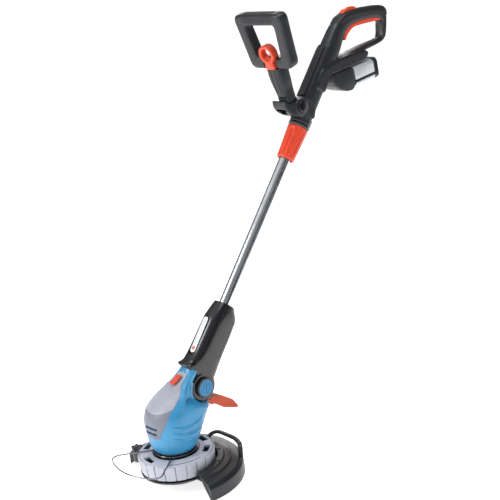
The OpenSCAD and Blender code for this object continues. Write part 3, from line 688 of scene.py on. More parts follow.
# ---- motor housing and its cover ----
housing = {
    "rows": [(-41, 70, 41, 70, 41, 2), (-47, 80, 47, 79, 46, 2), (-50, 97, 52, 93, 50, 2.1),
             (-51, 118, 61, 110, 51, 2.3), (-49, 138, 72, 126, 50, 2.5), (-41, 156, 83, 142, 48, 2.6),
             (-20, 172, 92, 157, 42, 2.7), (0, 183, 96, 172, 35.5, 2.8), (20, 193, 92, 190, 30, 2.8),
             (36, 202, 80, 204, 25, 2.6), (47, 214, 64, 213, 17, 2.2)],
    "tongue": [(24, 6), (24, -14), (-10, -42), (-44, -30), (-66, 0), (-66, 24), (-33, 24), (-20, 12)],
    "armSlab": [(-33.8, -2), (-33.8, 80), (80, 80), (80, -8), (20, -8), (20, -2)],
    "pedalWindow": [(70, 104), (70, 141), (84, 144), (120, 150), (120, 90)],
    "cover": [(0, 105), (20, 107), (23, 115), (31, 130), (35, 142), (36, 158), (33, 171), (27, 183),
              (17, 192),
              (13.5, 200), (11, 206), (0, 209)],
    "sideRidges": [[(-31, 129), (-14, 124), (2, 122), (20, 123), (38, 129)],
                   [(-31, 117), (-12, 111), (3, 109), (22, 109), (42, 113)],
                   [(-31, 106), (-12, 99), (3, 97), (22, 96.5), (42, 99)]],
    "vents": [(113.2, 118.4, 15.5), (123.6, 128.8, 17.5)],
    "crease": {"middle": 154, "curve": 0.006, "drop": 0.85},
    "fold": [(30, 203), (23, 197), (15, 177), (1, 165), (-13, 157), (-30, 156)]}


def raiseAlong(piece, path, width, height, least):
    # pushes skin points near a side-view path in or out, on both flanks
    legs = [(Vector(a) * mm, Vector(b) * mm) for a, b in zip(path, path[1:])]
    for vertex in piece.data.vertices:
        if abs(vertex.co.x) < least * mm:
            continue
        here = Vector((vertex.co.y, vertex.co.z))
        gap = 1.0
        for a, b in legs:
            t = min(max((here - a).dot(b - a) / (b - a).length_squared, 0), 1)
            gap = min(gap, (here - a - (b - a) * t).length)
        if gap < width * mm:
            lift = height * mm * (0.5 + 0.5 * math.cos(math.pi * gap / (width * mm)))
            vertex.co.x += math.copysign(lift, vertex.co.x)


def foldAt(z):
    # how far back the flank's fold lies at a height; below its tail it runs on round the knuckle
    points = sorted(housing["fold"][:4], key=lambda point: point[1])
    if z < points[0][1]:
        return points[0][0] + 2 * (points[0][1] - z)
    for (y0, z0), (y1, z1) in zip(points, points[1:]):
        if z <= z1:
            return y0 + (y1 - y0) * (z - z0) / (z1 - z0)
    return points[-1][0]


def narrowFlank(piece, least=21, reach=26):
    # draws both flanks in behind the fold, so that the arm's knuckle stands clear
    for vertex in piece.data.vertices:
        y, z = vertex.co.y / mm, vertex.co.z / mm
        behind = min(max((y - foldAt(z)) / reach, 0), 1)
        amount = behind * behind * (3 - 2 * behind)
        if abs(vertex.co.x) > least * mm:
            vertex.co.x += amount * (math.copysign(least * mm, vertex.co.x) - vertex.co.x)


def ventCutters(material, grow):
    cutters = []
    for low, high, half in housing["vents"]:
        slot = block("slot", (-half - grow, -80, low - grow), (half + grow, -30, high + grow), rowFrame,
                     material)
        cutters.append(softenEdges(slot, 2.2))
    return cutters


def armRoom(material):
    # the space that the tilting arm sweeps
    tongue = 11.7
    cutters = []
    for side in (-1, 1):
        low, high = sorted((side * tongue, side * 60))
        cutters.append(disc("cutDisc", 30, low, high, shaftFrame, material, "x", 96))
    slab = prism("cutSlab", housing["armSlab"], -60, 60, shaftFrame, material)
    carve(slab, [disc("keep", 24, -tongue, tongue, shaftFrame, material, "x", 96)])
    above = prism("cutAbove", [(-80, 21.4), (-20, 21.4), (-20, 80), (-80, 80)], -60, 60, shaftFrame, material)
    return cutters + [slab, above]


def latchCutter(material, grow):
    return block("cutLatch", (-7.4 - grow, -13 - grow, -0.4), (7.4 + grow, 13 + grow, 9), latchFrame,
                 material)


def buildHousing():
    material = finishes["mouldedBlueAbs"]
    body = loft("housing", housing["rows"], rowFrame, material, steps=9, around=144, ends=(False, False))
    shade(body)
    narrowFlank(body)
    raiseAlong(body, housing["fold"], 4.5, 1.2, 24)
    for path in housing["sideRidges"]:
        raiseAlong(body, path, 3.2, -1.7, 24)
    tongue = prism("tongue", housing["tongue"], -11.7, 11.7, shaftFrame, material)
    keep = loft("keep", housing["rows"], rowFrame, material, steps=9, around=96, ends=(False, False))
    shade(keep)
    carve(tongue, [keep], "INTERSECT")
    pivotDisc = disc("pivotDisc", 23, -11.7, 11.7, shaftFrame, material, "x")
    window = prism("window", housing["pedalWindow"], -15.6, 15.6, rowFrame, material)
    carve(body, [window])
    carve(body, [tongue, pivotDisc], "UNION")
    recess = block("recess", (-7.4, -13, -0.6), (7.4, 13, 9), latchFrame, material)
    carve(body, armRoom(material) + ventCutters(material, 0.4) + [recess])
    halves(body, "head", ["motor_housing_left", "motor_housing_right"], 0.08, 32)
    print("motor housing built")


def creaseAt(x):
    # height of the cover's curved crease, x from the middle plane
    return housing["crease"]["middle"] + housing["crease"]["curve"] * x * x


def buildCover():
    material = finishes["satinGreyAbs"]
    shell = loft("cover", housing["rows"], rowFrame, material, steps=16, around=144, grow=1.5,
                 ends=(False, False))
    # the part below the curved crease lies lower
    for vertex in shell.data.vertices:
        if vertex.co.z / mm < creaseAt(vertex.co.x / mm):
            vertex.co -= Vector((vertex.normal.x, vertex.normal.y, 0)) * housing["crease"]["drop"] * mm
    shade(shell)
    inner = loft("inside", housing["rows"], rowFrame, material, steps=9, around=144, grow=0.05,
                 ends=(False, False))
    shade(inner)
    outline = housing["cover"] + [(-x, z) for x, z in housing["cover"][-2:0:-1]]
    front = prism("frontSlab", outlinePoints(outline, 6), -80, 42, rowFrame, material, axis="y")
    carve(shell, [front], "INTERSECT")
    cutters = [inner, latchCutter(material, 0)] + armRoom(material)
    cutters += ventCutters(material, 0)
    carve(shell, cutters)
    # faces below the crease take the darker copy of the grey, painted shade for the downward-facing lower field
    shell.data.materials.append(finishes["paintedShadeGreyAbs"])
    for face in shell.data.polygons:
        if face.center.z / mm < creaseAt(face.center.x / mm):
            face.material_index = 1
    finish(shell, "head", ["front_cover"], 28)
    print("front cover built")


# ---- wheel, wire guard and star knob ----
wheel = {"radius": 75, "top": 62, "low": 31, "panels": 22, "gap": 2.7,
         "slots": [(-64, 12), (-6, 12), (67, 28), (127, 12), (171, 12)]}


def wheelAngle(index, count, turn=0.0):
    return math.radians(360 * index / count + turn)


def buildWheel():
    material = finishes["paleGreyNylon"]
    top, low, radius = wheel["top"], wheel["low"], wheel["radius"]
    profile = [(45.1, top - 10), (45.1, top - 1), (46.2, top), (radius - 5.6, top), (radius - 3.4, top - 1.2),
               (radius - 2.9, top - 4), (radius - 3.4, top - 12), (radius - 5.6, low), (radius - 6.6, low),
               (radius - 4.2, top - 12), (radius - 4.8, top - 4.4), (48, top - 4), (48, top - 10)]
    rim = revolve("wheelRim", profile, rowFrame, material, around=176)
    cutters = []
    for middle, half in wheel["slots"]:
        wide = half > 20
        ring = [(64, top - 6), (67, top - 6), (67, top + 3), (64, top + 3)] if wide else [
            (54, top - 6), (66.4, top - 6), (66.4, top + 3), (54, top + 3)]
        cutters.append(revolve("wheelSlot", ring, rowFrame, material, around=12, start=middle - 90 - half,
                               sweep=2 * half))
    carve(rim, cutters)
    shade(rim)
    # one raised outer panel between two grooves, bent to the rim
    step = 360 / wheel["panels"]
    half = step / 2 - math.degrees(wheel["gap"] / 2 / radius)
    outer = [(radius - 2.4, top - 1.0), (radius - 0.9, top - 2.2), (radius - 0.05, top - 4.5),
             (radius - 0.6, top - 12),
             (radius - 3.2, low + 0.2), (radius - 4.6, low + 0.2), (radius - 2.6, top - 12),
             (radius - 2.2, top - 4)]
    panel = revolve("wheelPanel", outer, rowFrame, material, around=8, start=-half, sweep=2 * half)
    softenEdges(panel, 0.4, 50, 2)
    panels = copies("wheelPanels", panel, wheel["panels"], material, turn=step)
    piece = joined("wheel_shell", [rim, panels], material)
    finish(piece, "wheel", ["guide_wheel"])
    print("guide wheel built")


bow = {"z": 65, "radius": 123, "half": 29, "elbow": (70, -91), "bend": (67.5, -103), "wire": 1.4,
       "ring": 41.6}


def buildBow():
    material = finishes["brightWire"]
    z = bow["z"]
    end = (bow["radius"] * math.sin(math.radians(bow["half"])),
           -bow["radius"] * math.cos(math.radians(bow["half"])))
    root = (27, -math.sqrt(bow["ring"] ** 2 - 27 ** 2))
    side = [root, tuple(0.5 * (a + b) for a, b in zip(root, bow["elbow"])), bow["elbow"], bow["bend"], end]
    right = outlineOpen(side, 7)
    arc = []
    for i in range(41):
        angle = math.radians(-90 + bow["half"] - 2 * bow["half"] * i / 40)
        arc.append((bow["radius"] * math.cos(angle), bow["radius"] * math.sin(angle)))
    path = right[:-1] + arc + [(-x, y) for x, y in reversed(right[:-1])]
    wire = wireTube("bowWire", inFrame(rowFrame, [(x, y, z) for x, y in path]), bow["wire"] * mm, material)
    circle = [(bow["ring"] * math.cos(wheelAngle(i, 96)), bow["ring"] * math.sin(wheelAngle(i, 96)), z)
              for i in range(96)]
    ring = wireTube("bowRing", inFrame(rowFrame, circle), bow["wire"] * mm, material, closed=True)
    piece = joined("plant_bow_wire", [wire, ring], material)
    finish(piece, "bow", ["plant_bow"], 70)
    print("plant bow built")


def ribbon(name, path, width, thick, material, power=3.4, around=28):
    # bar of rounded rectangular section along a path, its width kept level
    rings = []
    for i, point in enumerate(path):
        ahead, behind = path[min(i + 1, len(path) - 1)], path[max(i - 1, 0)]
        along = (ahead - behind).normalized()
        side = along.cross(Vector((0, 0, 1))).normalized()
        rise = side.cross(along)
        rings.append([point + side * (width / 2 * mm) * signedPower(math.cos(a), 2 / power)
                      + rise * (thick / 2 * mm) * signedPower(math.sin(a), 2 / power)
                      for a in (2 * math.pi * k / around for k in range(around))])
    return shade(skin(name, rings, material))


def outlineOpen(points, radius, arcSteps=6):
    # rounds the inner corners of an open path
    out = [Vector(points[0])]
    for before, corner, after in zip(points, points[1:], points[2:]):
        here = Vector(corner)
        back, ahead = Vector(before) - here, Vector(after) - here
        cut = min(radius, back.length * 0.45, ahead.length * 0.45)
        start, end = here + back.normalized() * cut, here + ahead.normalized() * cut
        out += [start * (1 - t) ** 2 + here * 2 * t * (1 - t) + end * t * t for t in
                (k / arcSteps for k in range(arcSteps + 1))]
    out.append(Vector(points[-1]))
    return [tuple(p) for p in out]


def buildStarKnob():
    material = finishes["texturedBlackNylon"]
    centre = localFrame(rowPoint(-80, -36, 0), Vector((0, 0, 1)))
    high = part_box("star_knob")[1]
    lobes = []
    for i in range(90):
        angle = 2 * math.pi * i / 90
        reach = 9.2 + 2.0 * math.cos(5 * angle)
        lobes.append((reach * math.cos(angle), reach * math.sin(angle)))
    head = prism("starHead", lobes, 51.5, 59, centre, material, axis="z")
    softenEdges(head, 1.2, 50)
    hub = revolve("starHub", [(0.01, 50.4), (6.5, 50.4), (6.5, high.z / mm - 1.6), (5.2, high.z / mm),
                              (0.01, high.z / mm)],
                  centre, material, around=48)
    stem = disc("starStem", 3, 34, 51, centre, material)
    finish(joined("star_knob_grip", [head, hub, stem], material), "guard_knob", ["star_knob"])


# ---- debris guard ----
guard = {"start": -12, "sweep": 204,
         "profile": [(56, 30.3), (77.5, 30.3), (78, 42), (90, 42), (92, 40), (104, 39), (106, 36), (120, 33),
                     (127, 26), (128, 2), (125.5, 2), (124.5, 25), (118, 30.5), (105, 33.5), (103, 36.5),
                     (91, 37.5),
                     (89, 39.5), (80, 39.5), (80, 27.7), (56, 27.7)],
         "arch": [(-6.5, 82, 40), (-6.2, 86, 47), (-5, 93, 52.6), (-1, 102, 54.5), (6, 106.4, 54.6),
                  (24, 106.9, 54.6),
                  (46, 106.5, 54.4), (58, 104.4, 54), (68, 101, 53.6), (77, 96, 52.6), (83, 91.5, 48),
                  (84.5, 89.8, 40),
                  (85, 89, 31)],
         "archWidth": 9, "archThick": 5.6, "screwTurns": (30, 64, 98, 132, 166)}


def buildGuard():
    material = finishes["charcoalPolypropylene"]
    pieces = [revolve("guardSkirt", guard["profile"], rowFrame, material, around=144, start=guard["start"],
                      sweep=guard["sweep"], radius=1.4)]
    pieces.append(revolve("guardTail", [(76.5, 34), (97, 34), (97, 39), (76.5, 39)], rowFrame, material,
                          around=16,
                          start=guard["start"] + guard["sweep"] - 1, sweep=13, radius=1))
    boss = revolve("guardBoss", [(3.08, 28), (9, 28), (9, 48.6), (7.6, 50), (3.08, 50)],
                   localFrame(rowPoint(-80, -36, 0), Vector((0, 0, 1))), material, around=48)
    path = [rowPoint(*p[:3]) for p in spline(guard["arch"], 6)]
    arch = ribbon("guardArch", path, guard["archWidth"], guard["archThick"], material)
    screws = []
    for angle in guard["screwTurns"]:
        screws.append(disc("guardScrew", 3.4, 42, 43.2, localFrame(
            rowPoint(84 * math.cos(math.radians(angle)), 84 * math.sin(math.radians(angle)), 0),
            Vector((0, 0, 1))),
            material, "z", 24))
    piece = joined("guard_shell", pieces + [boss, arch] + screws, material)
    finish(piece, "head", ["guard"])
    print("guard built")


# ---- lower arm ----
arm = {"rows": [(-59, 23, 27, 8, 18, 3.4), (-56, 29, 26, 17, 19.5, 3.4), (-51.5, 36, 24, 26, 21, 3.4),
                (-48.4, 45, 22, 36, 22.6, 3.4), (-46.6, 60, 20.4, 52, 23.6, 3.2), (-45.8, 80, 20, 76, 24, 3),
                (-45, 105, 20, 105, 24, 3), (-44, 128, 19.5, 128, 23.4, 3), (-41, 143, 18.6, 143, 22, 3),
                (-37.5, 156, 9, 156, 19.5, 3), (-35.5, 163, 4, 163, 17.8, 3)],
       "grooves": {"places": [3, 7.5, 12], "half": 0.6, "low": 62, "high": 138, "floor": 20.6}}


def buildArm():
    material = finishes["polishedBlackAbs"]
    body = loft("arm", arm["rows"], shaftFrame, material, steps=8, around=96, dome=2.0)
    shade(body)
    knuckle = disc("knuckle", 29, -20, 20, shaftFrame, material, "x", 96)
    softenEdges(knuckle, 2.2, 50)
    toe = prism("toe", [(-58, 22), (-56.5, 26.5), (-46, 37), (-30, 37), (-30, 22)], -15, 15, shaftFrame,
                material, 2)
    blendSolids(body, [knuckle, toe], 1.25, 5)
    rimDisc = disc("rimDisc", 20, -26, 26, shaftFrame, material, "x", 96)
    softenEdges(rimDisc, 1.2, 50)
    carve(body, [rimDisc], "UNION")
    shade(body)
    tube = disc("tubeHole", 12.2, 62, 200, localFrame(shaftFrame @ (Vector((0, -16, 0)) * mm), shaftUp),
                material)
    cutters = [disc("slotCut", 34, -12.1, 12.1, shaftFrame, material, "x", 96), tube]
    for side in (-1, 1):
        low, high = sorted((side * 22, side * 30))
        cutters.append(disc("capCut", 16.6, low, high, shaftFrame, material, "x", 64))
    # shallow well for the label plate
    well = prism("well", [(-8, 46), (8, 46), (8, 132), (-8, 132)], -60, -44.6, shaftFrame, material, 7.9,
                 axis="y")
    cutters.append(well)
    carve(body, cutters)
    # fine long grooves on the rear half of both sides
    groove = arm["grooves"]
    grooves = []
    for y in groove["places"]:
        for side in (-1, 1):
            low, high = sorted((side * groove["floor"], side * 30))
            near = (low, y - groove["half"], groove["low"])
            far = (high, y + groove["half"], groove["high"])
            grooves.append(block("armGroove", near, far, shaftFrame, material))
    carve(body, grooves)
    halves(body, "lower_shaft", ["lower_arm_left", "lower_arm_right"], 0.06, 34)
    print("lower arm built")


def buildArmTrim():
    material = finishes["whiteFilm"]
    plate = prism("plate", [(-6.5, 52), (6.5, 52), (6.5, 126), (-6.5, 126)], -47.3, -46.2, shaftFrame,
                  material, 6.4,
                  axis="y")
    softenEdges(plate, 0.35, 50, 2)
    finish(plate, "lower_shaft", ["label_plate"])
    spot = disc("label_spot", 3.4, 47.1, 47.7, localFrame(shaftFrame @ (Vector((0, 0, 61)) * mm),
                                                         shaftFrame.to_3x3() @ Vector((0, -1, 0))),
                finishes["orangeAbs"], "z", 40)
    finish(spot, "lower_shaft")
    cap = {"radius": 16.3, "outer": 27.2, "inner": 22.2, "stripes": 7}
    blue = finishes["mouldedBlueAbs"]
    for side, name in ((1, "left"), (-1, "right")):
        low, high = sorted((side * cap["inner"], side * cap["outer"]))
        dial = disc("dial", cap["radius"], low, high, shaftFrame, blue, "x", 96)
        softenEdges(dial, 1.0, 50)
        cutters = []
        for index in range(cap["stripes"]):
            y = -12 + 4 * index
            reach = math.sqrt(max(14.2 ** 2 - y * y, 0))
            a, b = sorted((side * (cap["outer"] - 1.3), side * (cap["outer"] + 2)))
            tilt = Matrix.Rotation(math.radians(33), 4, "X")
            cutters.append(block("groove", (a, y - 0.85, -reach), (b, y + 0.85, reach), shaftFrame @ tilt,
                                 blue))
        carve(dial, cutters)
        dial.name = "pivot_dial_" + name
        finish(dial, "lower_shaft", ["pivot_cap_" + name])
    print("arm trim built")


# ---- foot pedal and edging latch ----
def buildPedal():
    material = finishes["orangeNylon"]
    outline = [(76, 131), (82, 136), (100, 136), (110, 137), (124, 127), (145, 113), (157, 95), (155, 90),
               (121, 104), (100, 121), (84, 124), (77, 126)]
    wedge = prism("pedal", outline, -14, 14, rowFrame, material, 3)
    softenEdges(wedge, 1.4, 50)
    boss = disc("pedalBoss", 7, -13.9, 13.9, localFrame(rowPoint(0, 80, 129), Vector((0, 0, 1))), material,
                "x")
    carve(wedge, [boss], "UNION")
    panel = [(98, 131), (110, 132.6), (123, 122), (139, 110), (149, 97), (123, 108.5), (103, 125)]
    cutters = []
    for side in (-1, 1):
        low, high = sorted((side * 12.6, side * 20))
        cutters.append(prism("panelCut", panel, low, high, rowFrame, material, 2.5))
    ridge = block("gripCut", (-9, -0.7, -0.8), (9, 0.7, 2), Matrix.Identity(4), material)
    lie = Vector((0, 21, -14)).normalized()
    spots = copies("gripCuts", ridge, 6, material, step=lie * 4.4 * mm)
    spots.data.transform(Matrix.Translation(rowPoint(0, 117, 132.2)))
    shade(spots)
    carve(wedge, cutters + [spots])
    finish(wedge, "pedal", ["foot_pedal"])


def buildLatch():
    material = finishes["orangeAbs"]
    plate = block("latchPlate", (-6.5, -12, 0.6), (6.5, 12, 3.4), latchFrame, material)
    softenEdges(plate, 0.9)
    ridge = block("latchRidge", (-5, -0.8, 2.6), (5, 0.8, 4.2), Matrix.Identity(4), material)
    softenEdges(ridge, 0.5, 50, 2)
    ridges = copies("latchRidges", ridge, 6, material, start=(0, -7.5 * mm, 0), step=(0, 3 * mm, 0))
    ridges.data.transform(latchFrame)
    foot = block("latchFoot", (-3, -4, -5), (3, 4, 1), latchFrame, material)
    finish(joined("edging_slider", [plate, ridges, foot], material), "edging_slider",
           ["edging_latch"])
    print("pedal and latch built")


# ---- tube clamp sleeve and collar ----
sleeve = {"low": 482, "high": 553, "rLow": 17.8, "rHigh": 21.4, "flutes": 10}


def shaftRing(radiusAt, s, count):
    return [shaftFrame @ (Vector((radiusAt(a) * math.cos(a), -16 + radiusAt(a) * math.sin(a), s)) * mm)
            for a in (2 * math.pi * i / count for i in range(count))]


def buildSleeve():
    material = finishes["orangeAbs"]
    rings = []
    count = 224
    span = sleeve["high"] - sleeve["low"]
    stations = [(0, -2.0, 0), (0.012, -0.6, 0), (0.035, 0, 0), (0.07, 0, 0), (0.11, 0, 0.35), (0.16, 0, 1)]
    stations += [(0.16 + 0.68 * k / 10, 0, 1) for k in range(1, 11)]
    stations += [(0.88, 0, 0.5), (0.92, 0, 0), (0.975, 0, 0), (0.99, -0.5, 0), (1, -1.6, 0)]
    for along, inset, flute in stations:
        base = sleeve["rLow"] + (sleeve["rHigh"] - sleeve["rLow"]) * along + inset
        rings.append(shaftRing(lambda a, b=base,
                               f=flute: b - 2.5 * f * (1 - abs(math.sin(sleeve["flutes"] * a / 2)) ** 0.8),
                               sleeve["low"] + span * along, count))
    inner = [shaftRing(lambda a: 15.3, s, count) for s in (sleeve["high"], sleeve["low"])]
    piece = skin("clamp_sleeve_fluted", rings + inner, material, closed=True)
    finish(piece, "tube_clamp", ["clamp_sleeve"], 40)
    print("clamp sleeve built")


def buildCollar():
    material = finishes["polishedBlackAbs"]
    place = localFrame(shaftFrame @ (Vector((0, -16, 0)) * mm), shaftUp)
    piece = revolve("shaft_collar_ring", [(15.02, 553.4), (20.5, 553.4), (22.5, 555.6), (22.5, 559),
                                          (21.6, 560.2),
                                          (21.6, 561.4), (22.5, 562.6), (22.5, 575), (15.02, 575)], place,
                                          material,
                    around=96)
    finish(piece, "handle", ["shaft_collar"])


# ---- main handle ----
handle = {
    "rows": [(406.5, 638, 439.5, 611.5, 18, 3.2), (425, 660, 458.5, 634, 18, 3.2),
             (444.7, 684.3, 477.7, 657.8, 18, 3.2),
             (483, 730.5, 516, 704, 18, 3), (508.5, 761.4, 541.5, 734.8, 17, 2.9),
             (522, 778, 553, 752, 16, 2.8),
             (536, 793, 561.5, 765.5, 15, 2.8), (554, 806.5, 573, 777.5, 14.2, 2.7),
             (577, 814.5, 589, 784.5, 13.8, 2.6),
             (605, 816.5, 607, 788, 13.6, 2.6), (640, 816, 640, 789.5, 13.5, 2.6),
             (671, 814.8, 663, 788, 13.5, 2.6),
             (691, 811, 676, 784, 13.5, 2.7), (698, 801, 681.5, 777, 13.5, 2.8),
             (697, 783, 681, 768, 13.5, 2.8),
             (694, 764, 680, 756, 13.5, 2.8), (689, 749, 677.5, 749, 13.5, 2.7),
             (677, 738.6, 668, 745.8, 13.5, 2.7),
             (652, 732.6, 646, 743.6, 13.6, 2.7), (625, 728.6, 620, 740.4, 14.4, 2.8),
             (592, 723.5, 590, 735.6, 16, 2.8),
             (560, 716, 560, 729.4, 17.4, 3), (534, 706, 536, 728, 18, 3)],
    "block": [(478, 712), (526, 725), (569, 730), (612, 731.5), (624, 725), (613, 711), (567, 703.5),
              (503, 696),
              (480, 664), (455, 680)],
    "cradle": [(364, 668), (366, 655), (376, 643), (392, 634), (418, 626), (445, 618), (452, 640), (432, 668),
               (411, 667), (394, 662), (376, 662), (369, 670)],
    "bay": [(500, 692.5), (504, 681), (512, 671), (524, 663), (545, 656), (560, 656), (568, 661),
            (570.5, 690),
            (564, 703), (503, 695.6)],
    "triggerRoom": [(562, 755), (556, 768), (572, 793), (600, 802), (682.5, 802), (682.5, 780), (600, 780),
                    (575, 765)]}


def boltFrame():
    return localFrame(bolt, Vector((0, 0, 1)))


def buildHandle():
    material = finishes["texturedBlackNylon"]
    body = loft("handle", handle["rows"], rowFrame, material, steps=7, around=56, dome=2)
    shade(body)
    blockPart = prism("blockPart", handle["block"], -20.5, 20.5, rowFrame, material, 6)
    softenEdges(blockPart, 4.5, 40, 4)
    cradle = prism("cradle", handle["cradle"], -18.5, 18.5, rowFrame, material, 5)
    softenEdges(cradle, 2.6, 40, 3)
    drum = disc("drum", 16.5, -20, 20, boltFrame(), material, "x", 64)
    softenEdges(drum, 1.6, 50)
    blendSolids(body, [blockPart, cradle, drum], 1.3, 5)
    swing = [disc("swingEye", 14.8, -9.5, 9.5, boltFrame(), material, "x", 64)]
    wide = disc("swingWide", 42, -13.6, 13.6, boltFrame(), material, "x", 96)
    carve(wide, [prism("limit", [(-3, 17), (20, 60), (-80, 80), (-80, -4), (-16, -4), (-14.5, 9)], -30, 30,
                       boltFrame(),
                       material)], "INTERSECT")
    narrow = disc("swingNarrow", 42, -9.5, 9.5, boltFrame(), material, "x", 96)
    carve(narrow, [prism("limit", [(0, 0), (20, 60), (-80, 80), (-80, -12), (-10, -12)], -30, 30, boltFrame(),
                         material)], "INTERSECT")
    swing += [wide, narrow, disc("boltBore", 5.02, -30, 30, boltFrame(), material, "x", 48)]
    swing.append(prism("triggerRoom", handle["triggerRoom"], -9.5, 9.5, rowFrame, material))
    mouth = disc("collarRoom", 23, 480, 575, localFrame(shaftFrame @ (Vector((0, -16, 0)) * mm), shaftUp),
                 material)
    bore = disc("tubeRoom", 12.1, 480, 745, localFrame(shaftFrame @ (Vector((0, -16, 0)) * mm), shaftUp),
                material)
    carve(body, swing + [mouth, bore])
    halves(body, "handle", ["handle_shell_left", "handle_shell_right"], 0.07, 40)
    print("main handle built")


def buildShankDetails():
    # soft strip with slanted ribs, and two long ridges on each side of it
    rubber = finishes["softTouchRubber"]
    nylon = finishes["texturedBlackNylon"]
    strip = {"front": -44.6, "low": 614.5, "high": 730, "half": 7.5, "ribs": 22}
    base = prism("stripBase", [(-7.5, strip["low"]), (7.5, strip["low"]), (7.5, strip["high"]),
                               (-7.5, strip["high"])],
                 strip["front"] + 0.8, -40.6, shaftFrame, rubber, 4, axis="y")
    softenEdges(base, 0.6, 50, 2)
    rib = block("stripRib", (-6.6, -1.0, -1.05), (6.6, 0.9, 1.05),
                Matrix.Rotation(math.radians(28), 4, "Y"), rubber)
    softenEdges(rib, 0.6, 50, 2)
    pitch = (strip["high"] - strip["low"] - 14) / (strip["ribs"] - 1)
    ribs = copies("stripRibs", rib, strip["ribs"], rubber, start=(0, 0, 0), step=(0, 0, pitch * mm))
    ribs.data.transform(shaftFrame @ Matrix.Translation(Vector((0, strip["front"] + 1.0,
                                                                strip["low"] + 7)) * mm))
    finish(joined("shank_ribbed_strip", [base, ribs], rubber), "handle", ["shank_strip"])
    ridges = []
    for x, y in ((10.6, -41.0), (14.2, -40.0)):
        for side in (-1, 1):
            path = [(side * x, y + 2.2, 606), (side * x, y, 613), (side * x, y, 722),
                    (side * x, y + 2.2, 732)]
            points = inFrame(shaftFrame, outlineOpen(path, 5))
            ridges.append(wireTube("ridge", points, 1.25 * mm, nylon, around=10))
    finish(joined("shank_ridges", ridges, nylon), "handle", sharpAngle=60)
    print("shank details built")


def buildGrip():
    rubber = finishes["softTouchRubber"]
    rows = [(541, 797.5, 556, 786, 13.2, 2.6), (547, 802, 560, 790, 14.2, 2.6),
            (556, 808.5, 565, 794.5, 14.6, 2.6),
            (576, 815.6, 581, 797, 14.5, 2.6), (603, 817.6, 604, 796.5, 14.4, 2.6),
            (640, 817.2, 640, 797, 14.3, 2.6),
            (670, 816, 664, 796, 14.3, 2.6), (688, 813.4, 676, 793, 14.3, 2.6),
            (697.4, 807.5, 681, 790, 14.2, 2.6),
            (699.8, 797, 684, 788.5, 13.9, 2.6)]
    ridge = {"from": 609, "to": 689, "count": 10, "height": 0.9}
    rings = []
    for row in spline(rows, 14):
        ripple = 0.0
        middle = (row[0] + row[2]) / 2
        if ridge["from"] < middle < ridge["to"]:
            phase = (middle - ridge["from"]) / (ridge["to"] - ridge["from"]) * ridge["count"]
            ripple = -ridge["height"] * max(0.0, math.cos(2 * math.pi * phase)) ** 3
        rings.append(inFrame(rowFrame, sectionRing(row, 56, ripple)))
    piece = skin("grip_soft_top", rings, rubber)
    room = prism("room", handle["triggerRoom"], -9.5, 9.5, rowFrame, rubber)
    button = prism("button", [(567, 803), (567, 830), (610.5, 830), (610.5, 803)], -6.6, 6.6, rowFrame,
                   rubber)
    shade(piece)
    carve(piece, [room, button])
    finish(piece, "handle", ["grip_overmould"], 45)
    print("grip built")


def buildControls():
    orange = finishes["orangeAbs"]
    outline = [(563.5, 757), (573, 769), (588, 779.5), (600, 782.5), (633, 783.5), (678, 784), (681, 787),
               (679, 792), (640, 796), (600, 796), (575, 787), (562, 770)]
    lever = prism("trigger_lever_shape", outline, -9.1, 9.1, rowFrame, orange, 3)
    softenEdges(lever, 2.2, 50)
    finish(lever, "trigger_lever", ["trigger"])
    button = prism("lock_off_shape", [(568, 808), (568, 815), (575, 819.5), (584, 822), (602, 823),
                                      (609.5, 818.5),
                                      (609.5, 808)], -6.2, 6.2, rowFrame, orange, 1.5)
    softenEdges(button, 1.2, 50)
    ridge = block("ridge", (-4.6, -0.7, 0), (4.6, 0.7, 1.2), Matrix.Identity(4), orange)
    cuts = copies("ridgeCuts", ridge, 4, orange, step=(0, 5 * mm, 0.35 * mm))
    cuts.data.transform(Matrix.Translation(rowPoint(0, 586, 821.4)))
    shade(cuts)
    carve(button, [cuts])
    finish(button, "lock_off", ["lock_off_button"])
    print("controls built")


def buildBay():
    material = finishes["texturedBlackNylon"]
    bay = prism("battery_bay_shell", handle["bay"], -23, 23, rowFrame, material, 3)
    softenEdges(bay, 3.5, 40, 3)
    room = block("room", (-19, -20, -20), (19, 60, 18.5), batteryFrame, material)
    carve(bay, [room])
    finish(bay, "handle", ["battery_bay"])


# ---- battery ----
battery = {"half": 22.5, "low": -22.7, "high": 20.9, "edge": 6}


def barrel(name, half, low, high, start, end, material, bevel):
    edge = battery["edge"]
    outline = [(-half, low + edge), (-half + edge, low), (half - edge, low), (half, low + edge),
               (half, high - edge),
               (half - edge, high), (-half + edge, high), (-half, high - edge)]
    piece = prism(name, outline, start, end, batteryFrame, material, 5, axis="y")
    return softenEdges(piece, bevel, 50, 3)


